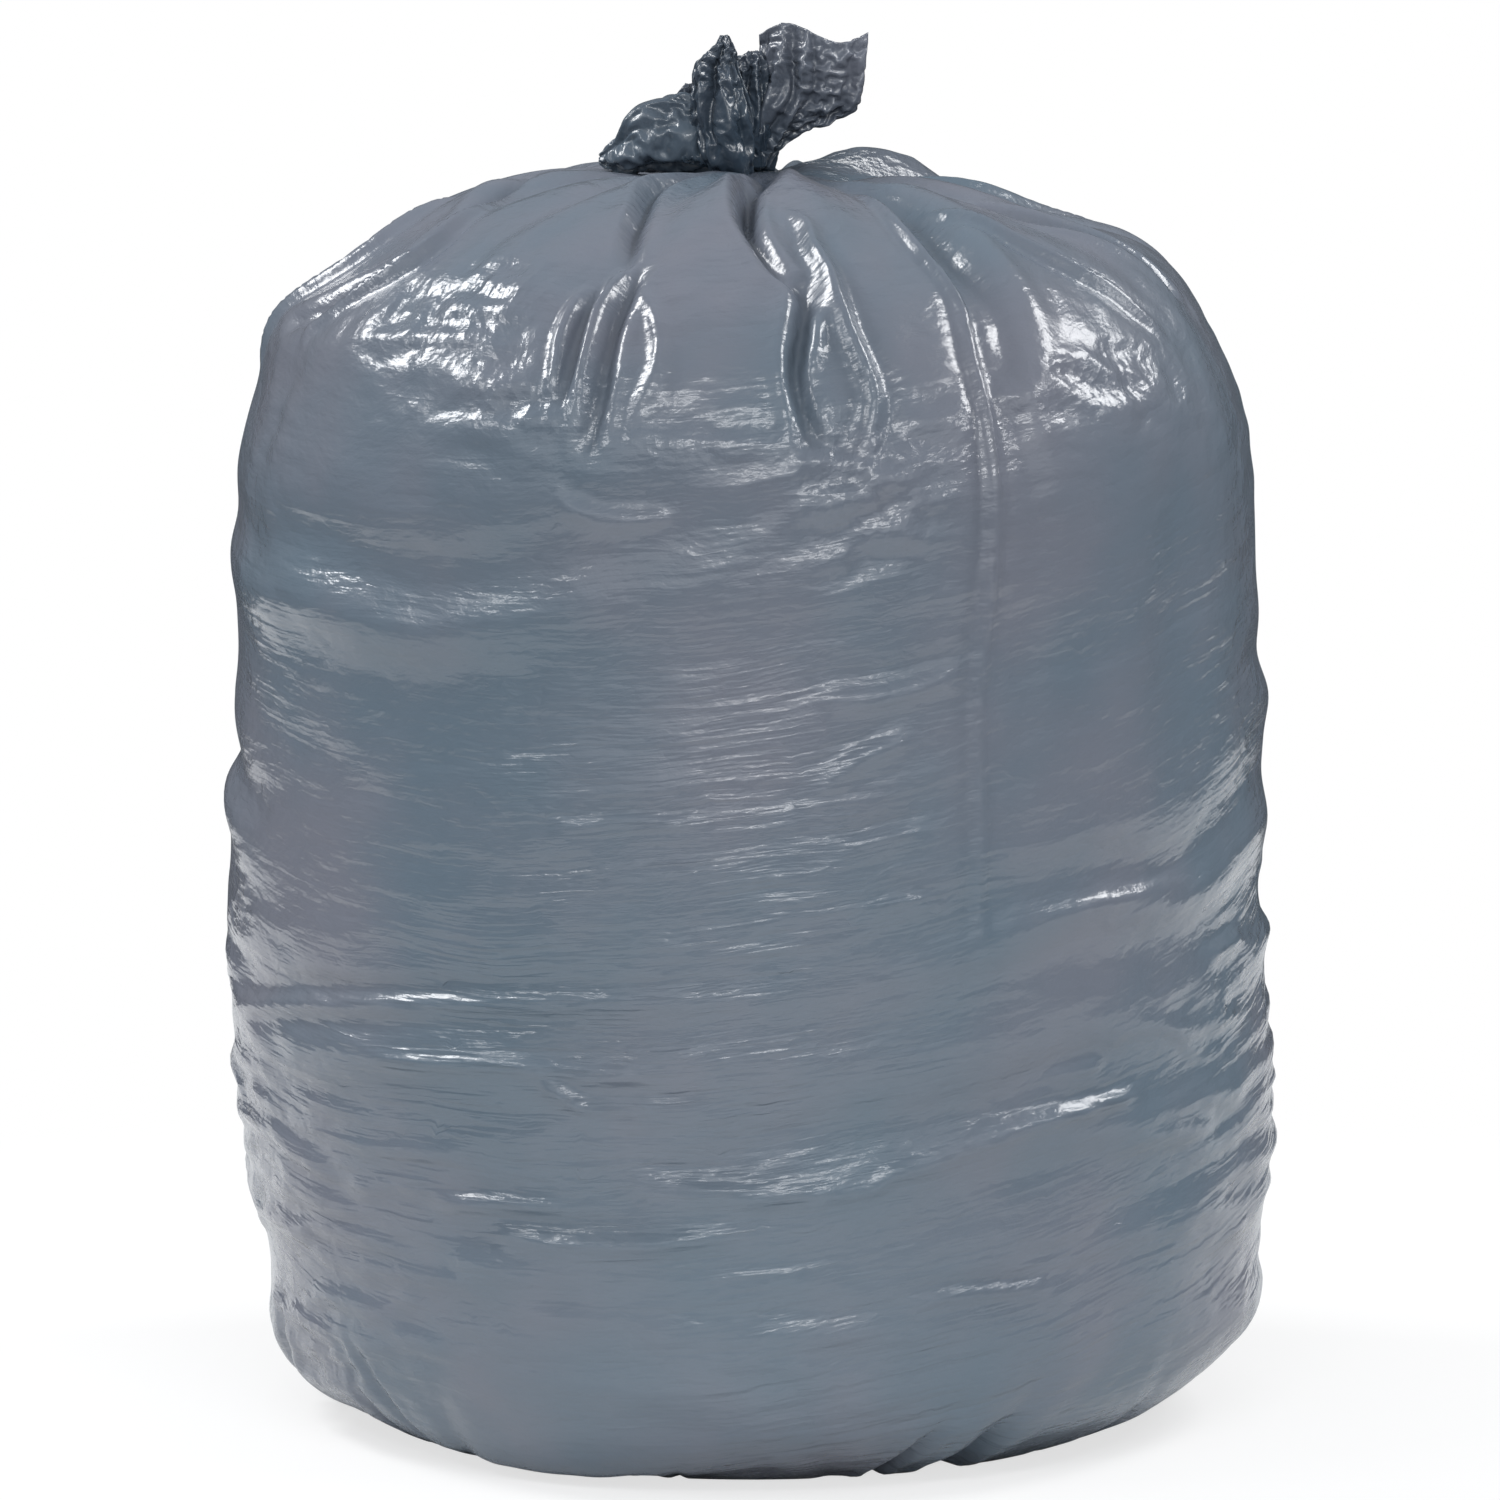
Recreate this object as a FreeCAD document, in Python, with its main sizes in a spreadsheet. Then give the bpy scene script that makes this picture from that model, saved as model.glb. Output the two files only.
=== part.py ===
import FreeCAD, Part
import math
import os

# A filled bin bag, tied shut with its own neck. It is one piece of thin film, so it is one solid: the full
# body, the gathered neck, and the knot's turn, back, loop and loose end. Creased film lies in flat facets,
# and so does this surface.
# Millimetres, +Z up. The origin is on the floor under the middle of the bag. -Y is the front, and a clock
# angle is measured from the front towards +X.

# The driving dimensions: name, value and meaning.
SIZES = [
    ("foot_radius", 180, "the flat patch that the bag stands on"),
    ("heel_radius", 233, "where the film has turned up from the floor"),
    ("heel_height", 34, "the height of that turn"),
    ("hip_radius", 250, "the lower side"),
    ("hip_height", 110, "its height"),
    ("belly_radius", 255, "the widest part"),
    ("belly_height", 230, "its height"),
    ("chest_radius", 253, "the upper side"),
    ("chest_height", 400, "its height"),
    ("shoulder_radius", 243, "where the side turns in towards the knot"),
    ("shoulder_height", 497, "its height"),
    ("slope_radius", 214, "the steep part of the shoulder"),
    ("slope_height", 551, "its height"),
    ("crown_radius", 166, "the flatter part above it"),
    ("crown_height", 587, "its height"),
    ("dome_radius", 110, "the nearly level film round the knot"),
    ("dome_height", 607, "its height"),
    ("neck_radius", 15, "the gathered neck inside the knot"),
    ("neck_height", 612, "where the film turns up into the neck"),
    ("neck_length", 48, "the neck, from under the crown to inside the knot"),
    ("flute_depth", 5, "the small pleats round the neck"),
    ("flute_fade", 85, "how far along the film they run"),
    ("turn_reach", 69, "the turn that crosses the front of the knot, up to its tip"),
    ("turn_width", 30, "its width"),
    ("turn_depth", 23, "its depth, front to back"),
    ("back_reach", 62, "the turn behind it"),
    ("back_width", 27, "its width"),
    ("back_depth", 22, "its depth"),
    ("loop_reach", 62, "the flattened loop on the left shoulder, out to its tip"),
    ("loop_width", 36, "its height over the film"),
    ("loop_depth", 18, "its depth"),
    ("tail_reach", 81, "the loose end, out to its far corner"),
    ("tail_width", 58, "its flare"),
    ("tail_depth", 22, "its depth"),
]

# How finely the facets are cut: points round the bag, the spacing of its rings near the knot and lower down,
# and the length of film, from the neck, that has the fine spacing.
POINTS_ROUND = 104
FINE_GAP = 20.0
COARSE_GAP = 34.0
FINE_REACH = 340.0

# The pleats round the neck, and the pleats along each fold of the knot with their share of its thickness.
FLUTES = 16
FOLD_POINTS = 30
FOLD_PLEATS = 6
PLEAT_SHARE = 0.13

# The film lies still where it meets the floor and where it is gathered into the neck. These are the height
# above the floor, and the distances from the neck, over which its lumps, single folds and flutes start.
FLOOR_HOLD = 14.0
NECK_HOLD = 40.0
FOLD_HOLD = 16.0
FLUTE_HOLD = 20.0

# A gather is a valley with a lip along one side: the lip's share of the depth, how many widths it lies from
# the valley, the share of the reach over which the gather fades, and the share at which it ends.
LIP_SHARE = 0.75
LIP_PLACE = 1.1
GATHER_FADE = 0.8
GATHER_END = 1.3

# A single fold has a slight counter-fold along both sides: its share of the depth and its distance in widths.
COUNTER_SHARE = 0.3
COUNTER_PLACE = 2.0

# The soft gathers that run from the knot over the shoulder: the clock angle at the neck and at the far end,
# in degrees, then how far each runs along the film, its width and its depth.
GATHERS = [
    (0, 7, 230, 15, 5),
    (-17, -20, 270, 16, 6),
    (38, 30, 330, 15, 6),
    (-62, -66, 230, 18, 6),
    (66, 62, 200, 16, 7),
    (-38, -43, 170, 12, 6),
    (95, 98, 240, 17, 9),
    (128, 120, 210, 16, 8),
    (158, 150, 280, 18, 11),
    (187, 189, 200, 14, 8),
    (214, 221, 250, 17, 10),
    (244, 250, 220, 16, 8),
    (272, 270, 260, 17, 9),
]

# The larger single folds that the knot pulls into the shoulder: half the width, how far each stands out, or
# in where it is negative, and its line as clock angles and distances from the neck.
SHOULDER_FOLDS = [
    (10, -7, [(2, 60), (-0.6, 105), (0, 139), (3.5, 173), (7.3, 202), (6, 260)]),
    (9, 4, [(9.5, 118), (11, 177), (12.2, 219), (13.5, 241), (12.8, 280)]),
    (10, -6, [(-26, 40), (-24.5, 110), (-19.8, 153), (-16.8, 190), (-17, 266)]),
    (9, 4, [(-19.6, 180), (-21.5, 226), (-21, 270)]),
    (10, -5, [(44, 60), (38, 110), (33, 157), (33, 203), (31, 246)]),
    (9, 4, [(31.8, 90), (28.8, 122), (27.2, 157), (28.2, 203), (26.5, 300)]),
    (11, -6, [(-92, 96), (-64, 133), (-59.5, 161), (-59.5, 183), (-67, 225)]),
    (9, 4, [(-86, 100), (-56, 140), (-54.8, 183), (-64, 230)]),
    (9, 4, [(41, 120), (48, 170), (54, 202), (58.5, 227)]),
    (10, -5, [(56, 70), (63, 120), (70, 170), (72, 210)]),
    (14, 9, [(116, 16), (124, 60), (130, 110)]),
    (10, 4, [(150, 50), (146, 110), (150, 180), (149, 250)]),
    (10, -6, [(168, 40), (172, 110), (168, 190), (171, 260)]),
    (10, 4, [(199, 60), (203, 130), (200, 220), (203, 280)]),
    (10, -6, [(230, 40), (226, 100), (231, 170), (228, 230)]),
]

# What is inside pushes the film out, or leaves it slack: clock angle, height, half the spread round the bag
# in degrees, half the spread in height, and the push.
LUMPS = [
    (-58, 425, 26, 60, 6),
    (-25, 505, 22, 45, 5),
    (20, 470, 24, 60, 4),
    (52, 500, 22, 40, 4),
    (86, 430, 22, 60, -3),
    (92, 150, 30, 80, 8),
    (-90, 330, 26, 90, 3),
    (-62, 100, 26, 55, -4),
    (-88, 75, 26, 35, -8),
    (-80, 26, 24, 16, 1),
    (-28, 10, 24, 20, 9),
    (40, 330, 26, 60, 3),
    (-12, 300, 30, 70, 4),
    (8, 90, 34, 50, 4),
    (62, 250, 20, 50, -4),
    (92, 560, 26, 26, -4),
    (100, 598, 34, 16, -8),
    (130, 330, 26, 80, 5),
    (165, 470, 26, 60, 7),
    (180, 180, 30, 70, 5),
    (210, 380, 24, 70, 6),
    (235, 170, 26, 70, 6),
    (240, 500, 22, 50, 5),
]

# The soft creases across the body: clock angle, height, rise in height per degree, half the length in
# degrees, half the width and the depth.
CREASES = [
    (-42, 440, 0.05, 34, 15, 6),
    (-30, 232, 0.03, 34, 14, 3),
    (18, 172, 0.55, 34, 14, 3),
    (58, 300, 0.45, 30, 14, 3),
    (-88, 318, -0.2, 20, 15, 3),
    (88, 372, 0.3, 18, 15, 2),
    (120, 240, -0.3, 34, 15, 4),
    (160, 350, 0.2, 36, 15, 5),
    (205, 265, -0.15, 34, 14, 4),
    (232, 420, 0.25, 28, 15, 4),
]

# The folds of the knot, each a flattened tube of gathered film. A fold starts at a point inside the knot,
# measured from where the neck starts, and leans that many degrees from upright towards +X. Its stations are
# shares of its reach, of its width to the left and to the right of its middle line, and of its depth.
FOLDS = {
    "turn": (
        (-8.0, -10.0, -4.0),
        -3.0,
        [
            (0.03, -0.10, 0.27, 0.50),
            (0.12, -0.14, 0.33, 0.70),
            (0.19, -0.32, 0.37, 0.85),
            (0.33, -0.63, 0.37, 1.00),
            (0.52, -0.58, 0.33, 1.00),
            (0.66, -0.60, 0.27, 0.90),
            (0.78, -0.56, 0.20, 0.70),
            (0.92, -0.25, 0.15, 0.45),
            (1.00, -0.03, 0.08, 0.20),
        ],
    ),
    "back": (
        (1.0, 9.0, -4.0),
        2.0,
        [
            (0.05, -0.40, 0.40, 0.80),
            (0.25, -0.48, 0.48, 1.00),
            (0.50, -0.50, 0.50, 1.00),
            (0.70, -0.42, 0.46, 0.90),
            (0.87, -0.30, 0.38, 0.70),
            (1.00, -0.10, 0.18, 0.35),
        ],
    ),
    "loop": (
        (-10.0, 2.0, 18.0),
        -90.0,
        [
            (0.00, -0.30, 0.40, 0.70),
            (0.18, -0.42, 0.58, 0.90),
            (0.32, -0.50, 0.67, 1.00),
            (0.45, -0.50, 0.51, 1.00),
            (0.61, -0.50, 0.50, 0.90),
            (0.74, -0.50, 0.36, 0.80),
            (0.86, -0.48, 0.10, 0.60),
            (1.00, -0.42, -0.28, 0.30),
        ],
    ),
    "tail": (
        (8.0, 4.0, 0.0),
        22.0,
        [
            (0.04, -0.14, 0.04, 0.50),
            (0.15, -0.18, 0.03, 0.60),
            (0.26, -0.28, 0.07, 0.80),
            (0.41, -0.36, 0.30, 1.00),
            (0.60, -0.41, 0.53, 1.00),
            (0.75, -0.48, 0.47, 0.85),
            (0.89, -0.25, 0.42, 0.60),
            (1.00, 0.24, 0.38, 0.30),
        ],
    ),
}


def make_sheet(doc):
    """The driving dimensions, one named cell each."""
    sheet = doc.addObject("Spreadsheet::Sheet", "sizes")
    for row, (name, value, meaning) in enumerate(SIZES, start=1):
        sheet.set(f"A{row}", name)
        sheet.set(f"B{row}", str(value))
        sheet.setAlias(f"B{row}", name)
        sheet.set(f"C{row}", meaning)
    doc.recompute()
    return sheet


def bell(x):
    return math.exp(-x * x)


def turned(angle):
    """An angle in degrees brought to between -180 and 180."""
    return (angle + 180.0) % 360.0 - 180.0


def clock_point(angle, radius, height):
    turn = math.radians(angle)
    return FreeCAD.Vector(radius * math.sin(turn), -radius * math.cos(turn), height)


def side_curve(size):
    """The bag's outline from the edge of its foot to its neck, with the radius as x and the height as y."""
    stations = [
        (size.foot_radius, 0),
        (size.heel_radius, size.heel_height),
        (size.hip_radius, size.hip_height),
        (size.belly_radius, size.belly_height),
        (size.chest_radius, size.chest_height),
        (size.shoulder_radius, size.shoulder_height),
        (size.slope_radius, size.slope_height),
        (size.crown_radius, size.crown_height),
        (size.dome_radius, size.dome_height),
        (size.neck_radius, size.neck_height),
    ]
    curve = Part.BSplineCurve()
    curve.interpolate([FreeCAD.Vector(radius, height, 0) for radius, height in stations])
    return curve


def gather_shape(angle, from_neck, radius):
    """How far the gathers move the film in or out, where radius turns an angle into a width."""
    moved = 0.0
    for at_neck, at_end, reach, width, depth in GATHERS:
        along = from_neck / reach
        if along > GATHER_END:
            continue
        middle = at_neck + (at_end - at_neck) * along
        across = math.radians(turned(angle - middle)) * radius / width
        strength = depth * bell(along / GATHER_FADE)
        moved += strength * (LIP_SHARE * bell(across - LIP_PLACE) - bell(across))
    return moved


def line_place(line, from_neck):
    """The clock angle of a fold's line at this distance from the neck, and its degrees per millimetre there."""
    for (angle, near), (next_angle, far) in zip(line, line[1:]):
        turning = (next_angle - angle) / (far - near)
        if from_neck <= far:
            break
    return angle + turning * (from_neck - near), turning


def shoulder_shape(angle, from_neck, radius):
    moved = 0.0
    for width, depth, line in SHOULDER_FOLDS:
        start, end = line[0][1], line[-1][1]
        if not start < from_neck < end:
            continue
        strength = depth * math.sin(math.pi * (from_neck - start) / (end - start)) ** 0.5
        middle, turning = line_place(line, from_neck)
        slanted = math.hypot(1.0, math.radians(turning) * radius)
        across = math.radians(turned(angle - middle)) * radius / (width * slanted)
        counter = bell(abs(across) - COUNTER_PLACE)
        moved += strength * (bell(across) - COUNTER_SHARE * counter)
    return moved


def lump_shape(angle, height):
    moved = 0.0
    for at, level, spread, tall, push in LUMPS:
        moved += push * bell(turned(angle - at) / spread) * bell((height - level) / tall)
    return moved


def crease_shape(angle, height):
    moved = 0.0
    for at, level, rise, reach, width, depth in CREASES:
        off = turned(angle - at)
        across = (height - level - rise * off) / width
        moved += depth * bell(off / reach) * (bell(across + 1.0) - bell(across - 0.2))
    return moved


def film_push(size, angle, height, radius, from_neck):
    """How far the film stands off its plain outline. It lies still on the floor and at the neck."""
    shaped = lump_shape(angle, height) + crease_shape(angle, height) + gather_shape(angle, from_neck, radius)
    folded = shoulder_shape(angle, from_neck, radius)
    fluted = size.flute_depth * bell(from_neck / size.flute_fade) * math.cos(math.radians(FLUTES * angle))
    pushed = shaped * min(1.0, from_neck / NECK_HOLD)
    pushed += folded * min(1.0, from_neck / FOLD_HOLD)
    pushed += fluted * min(1.0, from_neck / FLUTE_HOLD)
    return pushed * min(1.0, height / FLOOR_HOLD)


def ring_places(length):
    """The distances from the foot at which the film has a ring of points."""
    coarse_length = length - FINE_REACH
    coarse_count = round(coarse_length / COARSE_GAP)
    fine_count = round(FINE_REACH / FINE_GAP)
    coarse = [coarse_length * index / coarse_count for index in range(coarse_count)]
    fine = [coarse_length + FINE_REACH * index / fine_count for index in range(fine_count + 1)]
    return coarse + fine


def film_rings(size):
    """The points of the film, ring by ring, from the flat foot to the neck."""
    curve = side_curve(size)
    length = curve.length()
    rings = []
    for distance in ring_places(length):
        place = curve.parameterAtDistance(distance, curve.FirstParameter)
        point = curve.value(place)
        slope = curve.tangent(place)[0]
        ring = []
        for step in range(POINTS_ROUND):
            angle = 360.0 * step / POINTS_ROUND
            push = film_push(size, angle, point.y, point.x, length - distance)
            ring.append(clock_point(angle, point.x + push * slope.y, point.y - push * slope.x))
        rings.append(ring)
    return rings


def fold_rings(size, name):
    """The points of one fold of the knot, ring by ring, from inside the knot to the fold's end."""
    offset, lean, stations = FOLDS[name]
    start = FreeCAD.Vector(0, 0, size.neck_height) + FreeCAD.Vector(offset)
    reach = getattr(size, f"{name}_reach")
    width = getattr(size, f"{name}_width")
    depth = getattr(size, f"{name}_depth")
    leaning = math.radians(lean)
    along = FreeCAD.Vector(math.sin(leaning), 0, math.cos(leaning))
    across = FreeCAD.Vector(math.cos(leaning), 0, -math.sin(leaning))
    rings = []
    for far, left, right, thick in stations:
        middle = start + along * (far * reach) + across * (0.5 * (left + right) * width)
        ring = []
        for step in range(FOLD_POINTS):
            turn = 2.0 * math.pi * step / FOLD_POINTS
            pleat = 1.0 + PLEAT_SHARE * math.cos(FOLD_PLEATS * turn)
            sideways = across * (0.5 * (right - left) * width * math.sin(turn))
            outward = FreeCAD.Vector(0, -0.5 * thick * depth * pleat * math.cos(turn), 0)
            ring.append(middle + sideways + outward)
        rings.append(ring)
    return rings


def faceted_solid(rings):
    """A solid with flat facets between these rings of points, closed by a flat face at each end."""
    count = len(rings[0])
    points = [tuple(point) for ring in rings for point in ring]
    facets = []
    for level in range(len(rings) - 1):
        for step in range(count):
            low = level * count + step
            low_next = level * count + (step + 1) % count
            high = low + count
            high_next = low_next + count
            if (level + step) % 2:
                facets += [(low, low_next, high_next), (low, high_next, high)]
            else:
                facets += [(low, low_next, high), (low_next, high_next, high)]
    side = Part.Shape()
    side.makeShapeFromMesh((points, facets), 0.001)
    ends = [Part.Face(Part.makePolygon(ring + ring[:1])) for ring in (rings[0], rings[-1])]
    shell = Part.makeShell(side.Faces + ends)
    shell.sewShape()
    return Part.makeSolid(shell)


def add_shape(doc, name, shape):
    feature = doc.addObject("Part::Feature", name)
    feature.Shape = shape
    return feature


def add_neck(doc, size):
    """The gathered film at the core of the knot."""
    neck = doc.addObject("Part::Cylinder", "neck")
    neck.setExpression("Radius", "sizes.neck_radius")
    neck.setExpression("Height", "sizes.neck_length")
    neck.setExpression("Placement.Base.z", "sizes.neck_height - sizes.neck_length / 2")
    return neck


def add_bag(doc, pieces):
    """The whole bag, one solid."""
    joined = pieces[0].Shape.multiFuse([piece.Shape for piece in pieces[1:]])
    if len(joined.Solids) != 1:
        raise RuntimeError(f"the bag is {len(joined.Solids)} solids, not one")
    bag = add_shape(doc, "bag", joined.Solids[0])
    bag.Label = "tied_bag"
    return bag


def check_document(doc):
    """Stop if any object failed, or if a shape isn't sound."""
    for item in doc.Objects:
        if "Invalid" in item.State or "Error" in item.State:
            raise RuntimeError(f"{item.Label} failed: {item.State}")
        if hasattr(item, "Shape") and (item.Shape.isNull() or not item.Shape.isValid()):
            raise RuntimeError(f"{item.Label} has no valid shape")


def main():
    doc = FreeCAD.newDocument("bin_bag")
    size = make_sheet(doc)
    pieces = [add_shape(doc, "full_body", faceted_solid(film_rings(size))), add_neck(doc, size)]
    for name in FOLDS:
        pieces.append(add_shape(doc, f"knot_{name}", faceted_solid(fold_rings(size, name))))
    doc.recompute()
    bag = add_bag(doc, pieces)
    doc.recompute()
    check_document(doc)
    os.makedirs("parts", exist_ok=True)
    bag.Shape.exportStep(f"parts/{bag.Label}.step")
    box = bag.Shape.BoundBox
    print(bag.Label, round(bag.Shape.Volume / 1e6, 2), "litres,", len(bag.Shape.Faces), "faces,", box)


main()
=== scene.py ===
"""A filled bin bag of grey film, tied with its own neck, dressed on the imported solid."""

import math

import bpy
import numpy as np
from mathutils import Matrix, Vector


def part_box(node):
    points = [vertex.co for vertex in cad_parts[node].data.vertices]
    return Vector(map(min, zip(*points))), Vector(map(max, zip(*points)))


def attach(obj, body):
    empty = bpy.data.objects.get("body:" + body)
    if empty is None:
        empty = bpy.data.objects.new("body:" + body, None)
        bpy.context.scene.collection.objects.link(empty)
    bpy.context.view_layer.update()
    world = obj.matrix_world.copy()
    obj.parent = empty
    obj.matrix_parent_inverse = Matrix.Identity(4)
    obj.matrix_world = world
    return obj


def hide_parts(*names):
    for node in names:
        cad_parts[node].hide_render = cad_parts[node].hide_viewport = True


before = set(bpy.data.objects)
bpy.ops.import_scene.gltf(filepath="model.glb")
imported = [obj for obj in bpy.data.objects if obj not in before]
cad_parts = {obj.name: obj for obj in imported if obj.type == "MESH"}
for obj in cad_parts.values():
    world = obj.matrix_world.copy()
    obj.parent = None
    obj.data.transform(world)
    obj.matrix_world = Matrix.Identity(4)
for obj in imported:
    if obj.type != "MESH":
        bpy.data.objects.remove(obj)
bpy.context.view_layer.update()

bl_info = {
    "name": "Tied bin bag",
    "version": (1, 0, 0),
    "blender": (4, 5, 0),
    "location": "3D View > Sidebar > Bin bag",
    "description": "Builds the crinkled film of a filled, knotted bin bag",
    "category": "Object",
}

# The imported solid, which gives the scale. Lengths below are design millimetres on a bag DESIGN_HEIGHT tall.
DESIGN_HEIGHT = 684.2
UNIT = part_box("tied_bag")[1].z / DESIGN_HEIGHT

# The bag's outline from the edge of its foot to its neck: radius and height.
FOOT_RADIUS = 180.0
NECK_RADIUS = 15.0
SIDE = [
    (FOOT_RADIUS, 0.0),
    (233.0, 34.0),
    (250.0, 110.0),
    (255.0, 230.0),
    (253.0, 400.0),
    (243.0, 497.0),
    (214.0, 551.0),
    (166.0, 587.0),
    (110.0, 607.0),
    (NECK_RADIUS, 612.0),
]

# The deep gathers that run from the knot over the shoulder: the clock angle at the neck and at the far end,
# in degrees, then how far each runs along the film, its width and its depth.
GATHERS = [
    (0, 7, 230, 15, 5),
    (-17, -20, 270, 16, 6),
    (38, 30, 330, 15, 6),
    (-62, -66, 230, 18, 6),
    (66, 62, 200, 16, 7),
    (-38, -43, 170, 12, 6),
    (95, 98, 240, 17, 9),
    (128, 120, 210, 16, 8),
    (158, 150, 280, 18, 11),
    (187, 189, 200, 14, 8),
    (214, 221, 250, 17, 10),
    (244, 250, 220, 16, 8),
    (272, 270, 260, 17, 9),
]

# What is inside pushes the film out, or leaves it slack: clock angle, height, half the spread round the bag
# in degrees, half the spread in height, and the push.
LUMPS = [
    (-58, 425, 26, 60, 5),
    (-25, 505, 22, 45, 5),
    (20, 470, 24, 60, 4),
    (52, 500, 22, 40, 4),
    (86, 430, 22, 60, -3),
    (92, 150, 30, 80, 8),
    (-90, 330, 26, 90, 3),
    (-62, 100, 26, 55, -4),
    (-88, 75, 26, 35, -8),
    (-80, 26, 24, 16, 1),
    (-28, 10, 24, 20, 9),
    (40, 330, 26, 60, 3),
    (-12, 300, 30, 70, 4),
    (8, 90, 34, 50, 4),
    (62, 250, 20, 50, -4),
    (53, 430, 6, 90, -3.5),
    (44, 400, 6, 60, 1.5),
    (92, 568, 30, 22, 4),
    (-86, 538, 30, 20, 7),
    (-90, 370, 36, 110, -4),
    (90, 350, 36, 130, -4),
    (86, 58, 30, 22, 6),
    (100, 598, 34, 16, -8),
    (130, 330, 26, 80, 5),
    (165, 470, 26, 60, 7),
    (180, 180, 30, 70, 5),
    (210, 380, 24, 70, 6),
    (235, 170, 26, 70, 6),
    (240, 500, 22, 50, 5),
]

# The soft creases across the body: clock angle, height, rise in height per degree, half the length in
# degrees, half the width and the depth.
CREASES = [
    (-42, 440, 0.05, 34, 17, 4),
    (-30, 232, 0.03, 34, 14, 3),
    (18, 172, 0.55, 34, 14, 3),
    (58, 300, 0.45, 30, 14, 3),
    (-88, 318, -0.2, 20, 15, 3),
    (88, 372, 0.3, 18, 15, 2),
    (120, 240, -0.3, 34, 15, 4),
    (160, 350, 0.2, 36, 15, 5),
    (205, 265, -0.15, 34, 14, 4),
    (232, 420, 0.25, 28, 15, 4),
]

# Sharp ridges where the film is nipped: clock angle and height of each end, the bow of the ridge in height,
# half its width and how far it stands out.
RIDGES = [
    (-71, 214, 0, 244, 4, 5, 3.6),
    (-43, 203, -13, 207, 2, 4, 3.4),
    (-22, 201, -17, 189, 0, 4, 3.4),
    (-17, 189, -4, 191, 1, 3, 2.6),
    (-34, 138, -21, 143, 1, 4, 2.9),
    (-27, 126, -3, 131, -3, 5, 3.6),
    (-20, 321, -5, 326, 1, 3, 2.3),
    (-20, 470, -9, 466, -4, 5, 2.9),
    (9, 311, 17, 320, 1, 4, 3.1),
    (12, 282, 18, 287, 2, 4, 2.6),
    (17, 161, 46, 186, 3, 3, 3.4),
    (19, 170, 44, 183, 4, 3, 2.9),
    (-11, 154, 13, 152, -2, 5, 2.9),
    (12, 152, 17, 163, 0, 4, 2.9),
    (32, 277, 54, 284, 0, 3, 2.1),
    (18, 98, 33, 99, 1, 3, 3.1),
    (8, 382, 21, 391, -3, 6, 2.6),
    (7, 341, 16, 362, 2, 6, 2.6),
    (34, 199, 41, 202, 0, 4, 2.6),
    (62, 243, 71, 247, 0, 4, 2.9),
]

# Single folds that the knot pulls into the shoulder: half the width, how far each stands out, or in where
# it is negative, and its line as clock angles and distances from the neck.
SHOULDER_FOLDS = [
    (6.0, -7, [(10, 14), (8, 40), (2, 75), (-0.6, 105), (0, 139)]),
    (18.0, 12, [(132, 16), (137, 60), (136, 130)]),
    (4.0, -7, [(-2, 60), (-0.6, 112), (0, 139), (1.5, 155), (3.5, 173), (6.4, 190)]),
    (4.5, -9, [(7.5, 181), (7.3, 202), (5.8, 229), (6, 255), (6.8, 274)]),
    (4.0, 5, [(7.8, 122), (9.5, 132), (10, 159), (11, 177), (11.5, 195), (12.2, 219), (13.5, 241)]
        + [(13.8, 260), (12.8, 274)]),
    (3.0, 4, [(8, 203), (8, 219), (6.5, 250), (7.5, 266)]),
    (4.0, -6, [(-26, 40), (-26, 90), (-22.5, 120), (-21, 140), (-19.8, 153), (-18.5, 174)]),
    (3.5, 3.5, [(-17.5, 175), (-19.6, 200), (-19.2, 226), (-19.8, 260)]),
    (3.0, -4, [(-20, 190), (-21.4, 215), (-21.2, 236), (-21.4, 256)]),
    (3.0, 2.5, [(-23, 195), (-23.5, 221), (-23, 236), (-22.6, 254)]),
    (4.0, -6.5, [(-16.4, 179), (-17.2, 226), (-17, 256), (-17.5, 276)]),
    (3.5, 2.5, [(-14.3, 195), (-11.2, 219), (-10.8, 243), (-12.5, 262)]),
    (3.0, 4, [(37, 60), (31.8, 90), (28.8, 122), (27.2, 157), (28.2, 203), (27.2, 226), (27, 246)]
        + [(26.5, 300), (25.5, 377)]),
    (3.0, 2, [(25.6, 330), (24.6, 400), (24.5, 460), (24.5, 520)]),
    (9.0, -6, [(44, 60), (38, 110), (33, 157), (33, 203), (31, 246)]),
    (3.5, 5, [(-74, 96), (-61, 130), (-55.5, 161), (-54.8, 183), (-58.5, 203), (-62.2, 219), (-66, 232)]),
    (7.0, -8, [(-80, 92), (-66, 130), (-60.5, 161), (-59.5, 183), (-63, 203), (-67, 219), (-72, 232)]),
    (4.0, 4, [(-92, 100), (-82, 150), (-78, 185), (-81, 215), (-86, 249)]),
    (4.0, 4, [(41, 120), (48, 170), (54, 202), (58.5, 227)]),
    (4.0, -5, [(56, 70), (63, 120), (70, 170), (72, 210)]),
    (4.0, 4, [(150, 50), (146, 110), (150, 180), (149, 250)]),
    (4.0, -6, [(168, 40), (172, 110), (168, 190), (171, 260)]),
    (4.0, 4, [(199, 60), (203, 130), (200, 220), (203, 280)]),
    (4.0, -6, [(230, 40), (226, 100), (231, 170), (228, 230)]),
    (4.0, 4, [(112, 60), (108, 120), (113, 190), (110, 240)]),
]

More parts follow.
